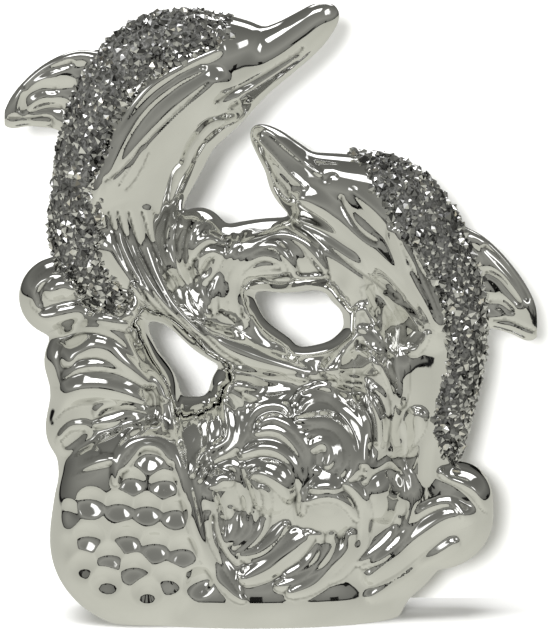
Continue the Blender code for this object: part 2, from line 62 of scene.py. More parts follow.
# Studio
# A pale paper table with a sheet of the same paper close behind the ornament, in a grey light tent with
# white panels. The camera stands well back and looks down a little at the front. A lamp beside the camera
# throws the shadow on the sheet, and a broad lamp overhead lights the table.
HEIGHT = 0.260
UNIT = HEIGHT / 100
LOOK_DOWN = math.radians(6.0)
CAMERA_DISTANCE = 2.5
FRAME_TALL = 104.1 * UNIT
AIM = Vector((0.2, 0.0, 48.4)) * UNIT
SENSOR = 36.0
TABLE_SIZE = 30.0
BACKDROP_BEHIND = 0.047
PAPER_LOW = (0.85, 0.85, 0.84)
PAPER_HIGH = (0.87, 0.87, 0.86)
TENT_CREAM = (0.52, 0.52, 0.46)
TENT_GREY = (0.225, 0.225, 0.205)
TENT_DARK = (0.012, 0.012, 0.012)


def look_at(thing, place, target):
    """Sets a camera or lamp at a place, turned towards the target."""
    thing.location = place
    thing.rotation_mode = "QUATERNION"
    thing.rotation_quaternion = (Vector(target) - Vector(place)).to_track_quat("-Z", "Y")
    bpy.context.scene.collection.objects.link(thing)


camera = bpy.data.objects.new("camera", bpy.data.cameras.new("camera"))
camera.data.sensor_width = SENSOR
camera.data.lens = SENSOR * CAMERA_DISTANCE / FRAME_TALL
camera.data.clip_end = 100
back_off = Vector((0, -math.cos(LOOK_DOWN), math.sin(LOOK_DOWN))) * CAMERA_DISTANCE
look_at(camera, AIM + back_off, AIM)
bpy.context.scene.camera = camera

bpy.context.scene.view_settings.view_transform = "Standard"
bpy.context.scene.view_settings.look = "None"


def add_node(tree, kind, values=None, **settings):
    """A node with its settings and the values of its inputs; a value that is a socket is linked."""
    node = tree.nodes.new(kind)
    for key, value in settings.items():
        setattr(node, key, value)
    for key, value in (values or {}).items():
        if isinstance(value, bpy.types.NodeSocket):
            tree.links.new(value, node.inputs[key])
        else:
            node.inputs[key].default_value = value
    return node


def colour_ramp(tree, factor, stops):
    """Colour by a factor, through stops of a place and a colour."""
    ramp = add_node(tree, "ShaderNodeValToRGB", {"Fac": factor})
    while len(ramp.color_ramp.elements) < len(stops):
        ramp.color_ramp.elements.new(0.5)
    for element, (position, colour) in zip(ramp.color_ramp.elements, stops):
        element.position = position
        element.color = (*colour, 1.0)
    return ramp.outputs["Color"]


def mix_colours(tree, blend, first, second):
    """Blends two colour sockets in full."""
    node = add_node(tree, "ShaderNodeMix", {0: 1.0}, data_type="RGBA", blend_type=blend)
    colours = [socket for socket in node.inputs if socket.type == "RGBA"]
    tree.links.new(first, colours[0])
    tree.links.new(second, colours[1])
    return [socket for socket in node.outputs if socket.type == "RGBA"][0]


# The paper lets the view through from behind, so that the sheet doesn't hide the ornament's back.
paper = bpy.data.materials.new("pale_paper")
paper.use_nodes = True
tree = paper.node_tree
shader = tree.nodes["Principled BSDF"]
shader.inputs["Roughness"].default_value = 0.9
fibres = add_node(tree, "ShaderNodeTexNoise", {"Scale": 40.0, "Detail": 3.0}).outputs["Fac"]
paper_shade = colour_ramp(tree, fibres, ((0.3, PAPER_LOW), (0.7, PAPER_HIGH)))
tree.links.new(paper_shade, shader.inputs["Base Color"])
from_behind = add_node(tree, "ShaderNodeNewGeometry").outputs["Backfacing"]
front_only = add_node(tree, "ShaderNodeMath", {0: 1.0, 1: from_behind}, operation="SUBTRACT")
tree.links.new(front_only.outputs[0], shader.inputs["Alpha"])

table_mesh = bpy.data.meshes.new("table")
table_cage = bmesh.new()
bmesh.ops.create_grid(table_cage, x_segments=1, y_segments=1, size=TABLE_SIZE / 2)
table_cage.to_mesh(table_mesh)
table_cage.free()
table_mesh.materials.append(paper)
table = bpy.data.objects.new("table", table_mesh)
backdrop = bpy.data.objects.new("backdrop", table_mesh.copy())
backdrop.rotation_euler = (math.radians(90), 0, 0)
backdrop.location = (0, BACKDROP_BEHIND, 0)
backdrop.visible_shadow = False
for sheet in (table, backdrop):
    bpy.context.scene.collection.objects.link(sheet)
    sheet.visible_glossy = False
    sheet.visible_diffuse = False

# Lamps: where each shines from, its strength, and how wide it spreads in degrees.
LAMPS = (("front_lamp", (-0.15, -1.0, 0.16), 3.4, 11), ("top_lamp", (-0.3, -0.25, 1.0), 4.4, 60))
for name, place, energy, spread in LAMPS:
    lamp = bpy.data.objects.new(name, bpy.data.lights.new(name, "SUN"))
    lamp.data.energy = energy
    lamp.data.angle = math.radians(spread)
    lamp.visible_glossy = False
    look_at(lamp, place, (0, 0, 0))

world = bpy.data.worlds.new("light_tent")
bpy.context.scene.world = world
world.use_nodes = True
tent = world.node_tree
tent.nodes.clear()

direction = add_node(tent, "ShaderNodeTexCoord").outputs["Generated"]
parts = add_node(tent, "ShaderNodeSeparateXYZ", {"Vector": direction})
upward = parts.outputs["Z"]


def maths(operation, *values):
    """A Math node of the tent on numbers or sockets; gives back its output."""
    return add_node(tent, "ShaderNodeMath", dict(enumerate(values)), operation=operation).outputs[0]


def between(value, start, end, at_start, at_end, **settings):
    """A Map Range node of the tent, from one value at the start to another at the end."""
    limits = {"Value": value, "From Min": start, "From Max": end, "To Min": at_start, "To Max": at_end}
    return add_node(tent, "ShaderNodeMapRange", limits, **settings).outputs["Result"]


# Tones of the tent from straight below (0) by the horizon (0.5) to straight above (1): place, colour, share.
TENT_TONES = (
    (0.0, TENT_CREAM, 1.3), (0.42, TENT_CREAM, 1.06), (0.496, TENT_CREAM, 1.0), (0.4985, TENT_DARK, 1.0),
    (0.512, TENT_DARK, 1.0), (0.520, TENT_GREY, 0.8), (0.57, TENT_GREY, 0.95), (0.66, TENT_GREY, 1.3),
    (0.80, TENT_GREY, 0.95), (1.0, TENT_GREY, 0.8),
)
tent_stops = [(height, tuple(share * part for part in colour)) for height, colour, share in TENT_TONES]
tent_colour = colour_ramp(tent, between(upward, -1.0, 1.0, 0.0, 1.0), tent_stops)

# White panels: where each hangs (towards), its half-width and half-height as seen, and its brightness.
PANELS = (
    ((-0.12, -0.46, 1.00), 0.22, 0.09, 2.4),
    ((-0.66, -0.55, 0.58), 0.15, 0.08, 1.2),
    ((0.66, -0.52, 0.62), 0.08, 0.09, 1.4),
    ((0.10, 0.70, 0.90), 0.40, 0.12, 2.0),
)
PANEL_SOFTNESS = 0.09


def panel_light(towards, half_wide, half_high, strength):
    """Brightness of one white panel of the tent in each direction."""
    towards = Vector(towards).normalized()
    aside = towards.cross(Vector((0, 0, 1))).normalized()
    above = aside.cross(towards)
    reaches = []
    for axis in (towards, aside, above):
        dot = add_node(tent, "ShaderNodeVectorMath", {0: direction, 1: axis}, operation="DOT_PRODUCT")
        reaches.append(dot.outputs["Value"])
    deep, wide, high = reaches
    shares = []
    for reach, half in ((wide, half_wide), (high, half_high)):
        away = maths("ABSOLUTE", maths("DIVIDE", reach, deep))
        shares.append(between(away, half, half + PANEL_SOFTNESS, 1.0, 0.0, interpolation_type="SMOOTHSTEP"))
    ahead = maths("GREATER_THAN", deep, 0.0)
    return maths("MULTIPLY", maths("MULTIPLY", maths("MULTIPLY", *shares), ahead), strength)


glow = panel_light(*PANELS[0])
for panel in PANELS[1:]:
    glow = maths("ADD", glow, panel_light(*panel))

# Dark things that stand round the table: azimuth from the front, half-width and height of each.
SKYLINE = (
    (0.03, 0.07, 0.20), (-0.15, 0.02, 0.12), (0.28, 0.04, 0.12), (-0.55, 0.06, 0.07), (0.75, 0.05, 0.12),
    (-1.1, 0.04, 0.06), (1.35, 0.06, 0.10), (2.2, 0.1, 0.08), (-2.0, 0.05, 0.06), (3.0, 0.08, 0.08),
)
SKYLINE_FOOT = -0.01
SKYLINE_TONE = 0.06
azimuth = maths("ARCTAN2", parts.outputs["X"], maths("MULTIPLY", parts.outputs["Y"], -1.0))
clear = 1.0
for centre, half, height in SKYLINE:
    beside = maths("GREATER_THAN", maths("ABSOLUTE", maths("SUBTRACT", azimuth, centre)), half)
    over = maths("GREATER_THAN", upward, height)
    under = maths("LESS_THAN", upward, SKYLINE_FOOT)
    clear = maths("MINIMUM", clear, maths("MAXIMUM", maths("MAXIMUM", beside, over), under))
dimmed = between(clear, 0.0, 1.0, SKYLINE_TONE, 1.0)

# The tent grows darker towards the back. Under the horizon, where it stands for the table, it keeps nearly
# its full tone all round.
under_table = between(upward, -0.02, 0.0, 0.92, 0.0)
backward = between(parts.outputs["Y"], -0.9, 0.9, 1.0, 0.5)
dimmed = maths("MULTIPLY", dimmed, maths("MAXIMUM", backward, under_table))
tent_colour = add_node(tent, "ShaderNodeVectorMath", {0: tent_colour, "Scale": dimmed}, operation="SCALE")
inside_colour = mix_colours(tent, "ADD", tent_colour.outputs["Vector"], glow)
inside = add_node(tent, "ShaderNodeBackground", {"Color": inside_colour}).outputs[0]
paper_white = add_node(tent, "ShaderNodeBackground", {"Color": (1.0, 1.0, 1.0, 1.0)}).outputs[0]
from_camera = add_node(tent, "ShaderNodeLightPath").outputs["Is Camera Ray"]
seen = add_node(tent, "ShaderNodeMixShader", {0: from_camera, 1: inside, 2: paper_white})
add_node(tent, "ShaderNodeOutputWorld", {"Surface": seen.outputs[0]})

# Casting
# One hollow slip-cast ceramic body, glazed and plated in bright silver: both dolphins, fins and flippers, the
# curling waves, the dimpled mound and the foot. Places are hundredths of the height, as seen from the front.
VOXEL = 0.30
FACES = 197000
BACK_FACES = 42000
MARGIN = 1.6
EMPTY = 3.0
SOFTENING = 6
BODY_STEPS = 12
RIB_STEPS = 5
STROKE_STEPS = 8
low_corner = np.array([-45.5, -18.6, -1.5])
high_corner = np.array([44.5, 18.6, 102.0])
counts = np.ceil((high_corner - low_corner) / VOXEL).astype(int) + 1
axes = [low_corner[i] + VOXEL * np.arange(counts[i], dtype=np.float32) for i in range(3)]
clay = np.full(counts, EMPTY, np.float32)


def window(low, high):
    """The part of the grid between two corners: its slices, and its x, y and z as arrays that combine."""
    first = np.maximum(np.floor((np.array(low) - low_corner) / VOXEL).astype(int), 0)
    last = np.minimum(np.ceil((np.array(high) - low_corner) / VOXEL).astype(int) + 1, counts)
    cut = tuple(slice(a, b) for a, b in zip(first, last))
    x, y, z = (axis[piece] for axis, piece in zip(axes, cut))
    return cut, x[:, None, None], y[None, :, None], z[None, None, :]


def join(cut, distance, blend):
    """Adds a form to the clay with a soft crease."""
    old = clay[cut]
    share = np.clip(0.5 + 0.5 * (old - distance) / blend, 0, 1)
    clay[cut] = old + share * (distance - old) - blend * share * (1 - share)


def along(points, position):
    """Point of the smooth curve through the points; position counts points, with fractions."""
    index = min(int(position), len(points) - 2)
    t = position - index
    before = points[max(index - 1, 0)]
    after = points[min(index + 2, len(points) - 1)]
    blended = []
    for p0, p1, p2, p3 in zip(before, points[index], points[index + 1], after):
        bend = 2 * p0 - 5 * p1 + 4 * p2 - p3
        curl = 3 * p1 - p0 - 3 * p2 + p3
        blended.append(p1 + 0.5 * t * (p2 - p0 + t * (bend + t * curl)))
    return blended


def stations_of(points, steps):
    """Points along the smooth curve, this many steps from each given point to the next."""
    count = (len(points) - 1) * steps
    return np.array([along(points, number / steps) for number in range(count + 1)])


def oval_distance(aside, deep, half_wide, half_deep):
    """Distance to an oval section, close enough near its edge."""
    inside = np.sqrt((aside / half_wide) ** 2 + (deep / half_deep) ** 2)
    slope = np.sqrt((aside / half_wide ** 2) ** 2 + (deep / half_deep ** 2) ** 2)
    small = np.minimum(half_wide, half_deep)
    return np.where(inside < 0.05, (inside - 1) * small, (inside - 1) * inside / np.maximum(slope, 1e-4))


def body(sections, blend):
    """A body along sections of x, z, half-width and half-depth."""
    path = stations_of(sections, BODY_STEPS)
    reach = path[:, 2].max() + MARGIN
    deep = path[:, 3].max() + MARGIN
    low = (path[:, 0].min() - reach, -deep, path[:, 1].min() - reach)
    high = (path[:, 0].max() + reach, deep, path[:, 1].max() + reach)
    cut, x, y, z = window(low, high)
    best = None
    for a, b in zip(path, path[1:]):
        run = b[:2] - a[:2]
        share = ((x - a[0]) * run[0] + (z - a[1]) * run[1]) / (run @ run)
        share = np.clip(share, 0, 1)
        away = np.sqrt((x - a[0] - share * run[0]) ** 2 + (z - a[1] - share * run[1]) ** 2)
        wide = a[2] + share * (b[2] - a[2])
        thick = a[3] + share * (b[3] - a[3])
        if best is None:
            best = [away, wide, thick]
            continue
        closer = away / wide < best[0] / best[1]
        for old, new in zip(best, (away, wide, thick)):
            old[closer] = new[closer]
    join(cut, oval_distance(best[0], y, best[1], best[2]), blend)


def lump(centre_x, centre_z, wide, high, deep, power=2.0, blend=1.4):
    """An egg-shaped mass; a power above 2 makes its front flatter, with the same outline from the front."""
    reach = np.array([wide, deep, high]) + MARGIN
    centre = np.array([centre_x, 0, centre_z])
    cut, x, y, z = window(centre - reach, centre + reach)
    across, up, thick = ((x - centre_x) / wide) ** 2, ((z - centre_z) / high) ** 2, np.abs(y) / deep
    radius = np.maximum(np.sqrt(across + up), 1e-4)
    inside = np.maximum((radius ** power + thick ** power) ** (1 / power), 1e-4)
    rise = (radius / inside) ** (power - 1) * np.sqrt(across / wide ** 2 + up / high ** 2) / radius
    slope = np.hypot(rise, (thick / inside) ** (power - 1) / deep)
    distance = (inside - 1) / np.maximum(slope, 1e-4)
    join(cut, np.where(inside < 0.05, -min(wide, high, deep), distance), blend)


def fin_rib(points, blend=1.6):
    """A rib of a fin, in the middle plane, through points of x, z and radius."""
    path = stations_of(points, RIB_STEPS)
    reach = path[:, 2].max() + MARGIN
    low = (path[:, 0].min() - reach, -reach, path[:, 1].min() - reach)
    high = (path[:, 0].max() + reach, reach, path[:, 1].max() + reach)
    cut, x, y, z = window(low, high)
    distance = None
    for a, b in zip(path, path[1:]):
        run = (b - a)[:2]
        share = np.clip(((x - a[0]) * run[0] + (z - a[1]) * run[1]) / (run @ run), 0, 1)
        away = np.sqrt((x - a[0] - share * run[0]) ** 2 + (z - a[1] - share * run[1]) ** 2 + y ** 2)
        away = away - a[2] - share * (b[2] - a[2])
        distance = away if distance is None else np.minimum(distance, away)
    join(cut, distance, blend)


# The two bodies from the tip of the beak to the tail: x, z, half-width and half-depth of each section.
LEFT_BODY = (
    (9.4, 98.7, 0.5, 0.8), (8.7, 98.2, 1.9, 2.0), (7.3, 97.2, 2.9, 2.7), (5.0, 95.2, 3.6, 3.2),
    (1.5, 92.8, 4.2, 3.9), (-2.5, 90.8, 5.2, 5.2), (-7.0, 90.0, 7.6, 7.4), (-13.8, 87.7, 11.0, 9.2),
    (-19.2, 83.8, 11.9, 10.0), (-22.4, 77.6, 11.6, 10.0), (-25.3, 68.5, 10.1, 9.4),
    (-25.7, 60.5, 9.4, 9.5), (-21.0, 55.2, 6.3, 10.3), (-15.9, 50.6, 3.4, 10.2), (-10.5, 46.0, 3.4, 10.0),
    (-4.0, 43.0, 3.6, 9.4), (2.0, 41.2, 2.6, 8.4), (7.5, 39.6, 1.4, 6.6),
)
RIGHT_BODY = (
    (-3.2, 79.5, 0.5, 0.8), (-2.4, 78.7, 1.8, 1.9), (-0.5, 76.9, 2.9, 2.8), (2.1, 73.9, 3.9, 3.7),
    (4.8, 70.7, 5.3, 5.2), (11.2, 68.6, 6.9, 7.2), (16.6, 66.0, 8.8, 8.6), (21.0, 61.4, 8.8, 9.0),
    (24.6, 55.8, 7.9, 8.8), (27.0, 49.5, 6.8, 8.4), (27.0, 41.5, 6.0, 8.6), (25.9, 33.5, 5.3, 8.8),
    (24.8, 27.0, 4.7, 8.7), (24.5, 19.0, 5.2, 8.2),
)
# Bands of wave between the openings, given in the same way: over, left of and under the heart, and beside the
# column's slot.
BRIDGES = (
    ((-9.0, 60.0, 3.0, 6.6), (-4.0, 59.4, 5.2, 6.6), (1.0, 59.0, 6.1, 6.8), (6.0, 58.8, 5.5, 7.0),
     (12.0, 57.4, 4.4, 7.4)),
    ((-7.0, 56.0, 2.2, 6.4), (-5.6, 51.0, 2.5, 6.4), (-3.0, 46.8, 2.2, 6.4), (1.5, 43.8, 1.8, 6.0)),
    ((0.5, 42.8, 1.3, 5.6), (5.0, 42.2, 1.7, 6.0), (9.5, 43.2, 1.7, 6.6), (13.0, 46.0, 1.9, 7.4)),
    ((-22.8, 53.0, 1.5, 6.0), (-22.4, 47.0, 1.6, 6.6), (-20.6, 42.3, 1.8, 7.6), (-18.1, 38.2, 2.1, 9.2),
     (-17.2, 33.0, 2.2, 11.0), (-16.6, 26.0, 2.2, 13.0)),
)
# Masses of the foot, mound and waves: centre x and z, half-width, half-height, half-depth, and how blunt.
WAVE_MASSES = (
    (-2.5, 11.0, 30.0, 14.0, 13.6), (-4.0, 3.5, 25.5, 12.5, 15.6), (-21.5, 12.5, 15.0, 13.5, 14.6, 4.0),
    (-21.5, 16.5, 14.6, 17.5, 16.6, 4.0), (-20.0, 18.0, 6.6, 10.2, 15.9, 3.0),
    (-26.5, 25.5, 8.8, 6.0, 13.4), (-27.5, 37.0, 9.0, 12.0, 11.0, 3.2), (-35.0, 52.3, 6.6, 6.4, 7.6, 2.6),
    (2.0, 23.5, 19.5, 17.0, 13.6), (-13.6, 28.6, 4.8, 7.2, 12.2), (9.5, 22.0, 13.0, 14.0, 13.8),
    (26.3, 16.6, 9.3, 8.7, 8.6, 4.0), (16.6, 34.0, 4.4, 20.0, 10.4), (-12.2, 60.4, 5.0, 6.4, 7.0),
    (-4.6, 58.6, 6.6, 5.4, 7.4), (12.4, 55.0, 4.4, 5.0, 7.6), (-9.4, 52.4, 5.0, 6.8, 6.8),
    (-5.6, 37.4, 4.9, 4.4, 9.4), (-33.2, 42.0, 4.3, 4.9, 8.0, 3.2), (-32.6, 31.2, 4.7, 5.8, 9.0, 3.2),
    (30.5, 20.0, 4.8, 4.6, 8.0, 4.0), (23.8, 39.0, 4.6, 11.0, 8.2, 3.0), (-26.6, 47.0, 5.6, 6.0, 9.8, 3.0),
    (14.0, 49.5, 2.9, 5.0, 7.4), (9.0, 40.4, 4.6, 3.8, 7.6),
)
for mass in WAVE_MASSES:
    lump(*mass)
for bridge in BRIDGES:
    body(bridge, 1.0)
body(LEFT_BODY, 0.8)
body(RIGHT_BODY, 0.8)

# Ribs that each fin is spread over: x, z and radius.
LEFT_FIN = (
    ((-25.5, 89.0, 1.7), (-31.0, 91.0, 1.5), (-36.5, 89.0, 1.5), (-41.2, 84.8, 1.3), (-43.2, 81.3, 0.9)),
    ((-27.0, 86.0, 1.8), (-33.0, 88.0, 1.7), (-37.5, 86.5, 1.6), (-41.0, 83.5, 1.3), (-42.6, 81.2, 0.9)),
    ((-28.5, 83.0, 1.8), (-34.0, 84.6, 1.7), (-38.2, 84.0, 1.5), (-41.0, 82.4, 1.2), (-42.0, 81.0, 0.8)),
    ((-30.0, 79.5, 1.7), (-34.6, 80.9, 1.6), (-38.5, 81.2, 1.4), (-41.5, 81.0, 1.0), (-43.2, 80.8, 0.7)),
)
RIGHT_FIN = (
    ((28.0, 63.0, 1.7), (33.0, 61.0, 1.5), (37.5, 56.5, 1.5), (41.0, 51.2, 1.3), (42.0, 46.9, 0.9)),
    ((29.0, 59.0, 1.8), (34.0, 57.0, 1.7), (37.8, 53.8, 1.6), (40.3, 50.0, 1.3), (41.4, 46.7, 0.9)),
    ((29.5, 54.5, 1.8), (34.5, 53.0, 1.7), (38.0, 50.8, 1.5), (40.3, 48.0, 1.2), (41.2, 46.4, 0.8)),
    ((30.0, 49.5, 1.7), (34.8, 48.8, 1.6), (38.2, 47.6, 1.4), (40.8, 46.4, 1.0), (42.0, 46.0, 0.6)),
)
for rib in LEFT_FIN + RIGHT_FIN:
    fin_rib(rib)


def soften(field, rounds):
    """Averages a field with its neighbours along every axis."""
    for _ in range(rounds):
        for axis in range(field.ndim):
            rim = np.take(field, [0], axis), np.take(field, [-1], axis)
            wider = np.concatenate([rim[0], field, rim[1]], axis)
            size = field.shape[axis]
            before, after = (wider.take(range(start, start + size), axis) for start in (0, 2))
            field = (before + 2 * field + after) / 4
    return field


clay = soften(clay, SOFTENING)

# The relief is drawn as a map of how far the skin stands out, seen from the front like the photograph. The
# camera looks down, so that what lies a unit further back is seen this much higher.
SIGHT_SLOPE = 0.105
MAP_STEP = 0.15
map_low = np.array([-46.0, -3.0])
map_size = (614, 710)
map_x = map_low[0] + MAP_STEP * np.arange(map_size[0])
map_z = map_low[1] + MAP_STEP * np.arange(map_size[1])
forms = np.zeros(map_size)
strands = np.zeros(map_size)
furrows = np.zeros(map_size)


def patch(points, reach):
    """The part of the map around some points."""
    points = np.array(points, float)
    first = np.maximum(((points[:, :2].min(0) - reach - map_low) / MAP_STEP).astype(int), 0)
    last = np.minimum(((points[:, :2].max(0) + reach - map_low) / MAP_STEP).astype(int) + 2, map_size)
    cut = slice(first[0], last[0]), slice(first[1], last[1])
    return cut, map_x[cut[0]][:, None], map_z[cut[1]][None, :]


def stroke(width, points, end):
    """Share of the way from a stroke's middle line to its edge, at each spot; it thins to its ends."""
    path = stations_of(points, STROKE_STEPS)
    share = np.linspace(-1, 1, len(path))
    wide = width * (end + (1 - end) * np.sqrt(1 - np.abs(share) ** 3))
    cut, x, z = patch(path, width)
    nearest = np.full((x.shape[0], z.shape[1]), 9.0)
    for a, b, wide_a, wide_b in zip(path, path[1:], wide, wide[1:]):
        run = b - a
        t = np.clip(((x - a[0]) * run[0] + (z - a[1]) * run[1]) / max(run @ run, 1e-9), 0, 1)
        away = np.sqrt((x - a[0] - t * run[0]) ** 2 + (z - a[1] - t * run[1]) ** 2)
        nearest = np.minimum(nearest, away / (wide_a + t * (wide_b - wide_a)))
    return cut, nearest


def strand(radius, points, rise=0.85):
    """A raised strand with a round back and creased edges, a little wider than its own radius."""
    cut, nearest = stroke(1.3 * radius, points, 0.2)
    hump = radius * rise * np.clip(1 - nearest ** 2, 0, 1)
    strands[cut] = np.maximum(strands[cut], hump)


def swell(width, height, points, end=0.6):
    """A broad soft ridge; a negative height makes a hollow."""
    cut, nearest = stroke(width, points, end)
    forms[cut] += height * np.clip(1 - nearest ** 2, 0, 1) ** 2


def furrow(width, depth, points, end=0.3):
    """A narrow cut line."""
    cut, nearest = stroke(width, points, end)
    furrows[cut] = np.maximum(furrows[cut], depth * np.clip(1 - nearest ** 2, 0, 1) ** 2)


def pad(centre, half_wide, half_high, height, lean=0.0, edge=1.0):
    """A dome, or a hollow where the height is negative; edge below 1 makes its rim steeper."""
    reach = max(half_wide, half_high)
    cut, x, z = patch([centre], reach)
    turn = math.radians(lean)
    aside = (x - centre[0]) * math.cos(turn) + (z - centre[1]) * math.sin(turn)
    up = (z - centre[1]) * math.cos(turn) - (x - centre[0]) * math.sin(turn)
    inside = np.clip(1 - (aside / half_wide) ** 2 - (up / half_high) ** 2, 0, 1)
    forms[cut] += height * inside ** edge


# Left dolphin: mouth, lip, eye and mouth corner, belly crease, soft ridges beside the stones, flipper.
furrow(0.8, 0.45, ((4.6, 92.6), (3.3, 91.3), (0, 89.3), (-3, 87.5), (-7, 85.2), (-9.3, 83.6)))
swell(0.9, 0.35, ((-6, 84), (-3, 86.2), (0, 88.2), (3.5, 91)))
pad((-5.8, 84.6), 2.6, 1.0, 0.45, 30, 0.7)
pad((-7.2, 82.7), 2.6, 1.3, 0.4, 35, 0.7)
pad((-6.6, 83.0), 1.1, 0.6, -0.4, 35)
furrow(0.9, 0.5, ((-4.5, 83), (-6, 81.4), (-8.7, 80.8), (-10.5, 80), (-12, 78.5), (-13.8, 76),
                  (-14.7, 73.5), (-16, 72), (-17, 68), (-17.5, 64), (-17.6, 60)), 0.5)
swell(1.5, 0.75, ((-29.3, 66), (-27.6, 72), (-24.6, 79.5), (-20.3, 85.5), (-14.5, 89.3), (-9, 92)))
swell(1.1, 0.55, ((-26.6, 71.5), (-24.2, 77.5), (-20.6, 82.8), (-16, 86.6), (-11.5, 89)))
strand(0.55, ((-21, 76.2), (-22, 74.4), (-23.4, 72.2), (-24.6, 70.2)), 0.5)
furrow(0.45, 0.35, ((-21.6, 76), (-22.8, 73.8), (-24, 71.8), (-25, 70)))
furrow(0.45, 0.3, ((-20.2, 75.4), (-21.2, 73.2), (-22.6, 70.8), (-24, 69.3)))
swell(4.6, 1.3, ((-28.4, 69.4), (-24.7, 72.4), (-20.3, 77.2), (-15.5, 82.2), (-9.5, 86.6)))
swell(4.6, 1.5, ((-26.5, 59.5), (-22.5, 54.4), (-17.5, 50.2), (-12, 46.8)), 0.8)
furrow(0.5, 0.35, ((-27.4, 70.6), (-24.7, 72.6), (-20.3, 77.4), (-16.5, 81.2), (-10.3, 86.8)), 0.2)
for offset in (0, 1.5, 3.2, 5.4):
    furrow(0.55, 0.5, ((-26.8 + offset, 66), (-25 + offset, 60), (-22 + offset, 54),
                       (-18 + 0.8 * offset, 49), (-12 + 0.6 * offset, 43.6), (-8 + 0.5 * offset, 41.4)))
swell(2.2, 0.5, ((-20.5, 66), (-19.5, 60), (-17, 55), (-12.5, 50), (-7, 46.5), (-1, 44.5)))

# Left fin: hollow flutes between its ribs.
swell(1.5, -0.8, ((-40.8, 82.3), (-40, 84.8), (-37.6, 86.2), (-35.6, 86)))
swell(1.0, -0.55, ((-40.5, 86.3), (-37.5, 88.6), (-33, 90.2)))
swell(0.9, -0.5, ((-39.5, 82.2), (-36.5, 83.2), (-34.5, 83)))
furrow(0.5, 0.4, ((-43.2, 81.2), (-40, 81.3), (-36.3, 81.2), (-36, 79.2)))

# Right dolphin: strips of the beak, brow, flank crease, belly band, flipper.
swell(1.0, 0.7, ((-2.2, 79.9), (0, 78.6), (3.5, 75.5), (7.2, 72.2)))
furrow(0.45, 0.3, ((-2.9, 78.6), (-0.5, 76), (2.2, 73), (5, 70.2)))
swell(0.9, 0.55, ((-2.6, 77.9), (0, 75), (3, 71.8), (5, 70)))
furrow(0.45, 0.35, ((-3.6, 77.6), (-2, 74.6), (1, 70.5), (3, 67.6)))
furrow(0.5, 0.3, ((7.5, 71.5), (8.2, 71), (9.2, 71.9), (10, 71.5)))
furrow(0.6, 0.45, ((10.7, 68.4), (11, 67), (12, 65), (13, 63.5), (14.5, 62), (16.4, 60.8)))
swell(1.2, 0.25, ((12.5, 69.5), (16, 66.4), (18.2, 63.6), (20.2, 60), (21.5, 57)))
swell(4.8, 1.7, ((4.5, 67.4), (9.5, 62.8), (14, 58.9), (18.4, 54.8), (22.6, 50.2), (25.4, 46)))
furrow(0.7, 0.5, ((0.8, 67), (3, 64), (7, 61.3), (12, 57.4), (16, 54.6), (20, 51.6), (24, 47.2)))
strand(1.9, ((19.4, 63), (20.8, 60.4), (22.6, 57), (24.6, 52.5), (26.8, 47.2)), 0.5)
furrow(0.35, 0.3, ((20.2, 61), (21.6, 57.6), (23.6, 53.6), (26, 48.4)))
furrow(0.35, 0.3, ((21, 61.4), (22.8, 57.8), (24.9, 53.4), (26.8, 48.6)))

# Right fin: flutes.
swell(1.1, -0.6, ((34.2, 60.3), (37, 57.6), (39.4, 54.6), (41, 51.8)))
swell(0.9, -0.5, ((34.4, 56.2), (36.5, 55), (38.2, 53), (39.8, 51)))
swell(0.9, -0.5, ((35, 51.4), (36.8, 51.2), (38.5, 49.8)))
furrow(0.5, 0.35, ((35.4, 48.2), (38, 48.2), (40, 47.4), (42.4, 46.3)))

# The curl at the far left.
strand(1.7, ((-34, 58.3), (-37, 58), (-39.5, 56), (-40.8, 53.5), (-41, 51), (-40, 49), (-37.5, 47.8),
             (-34, 48.8), (-30, 49.5), (-26, 48.3), (-23, 48.5), (-22, 51), (-22.5, 54)))
strand(1.0, ((-33.5, 55.8), (-36, 55.8), (-38.3, 54.8), (-39.3, 53), (-39, 51), (-38, 50)))
strand(1.6, ((-36, 53), (-34, 54), (-32.5, 53.3)), 0.8)

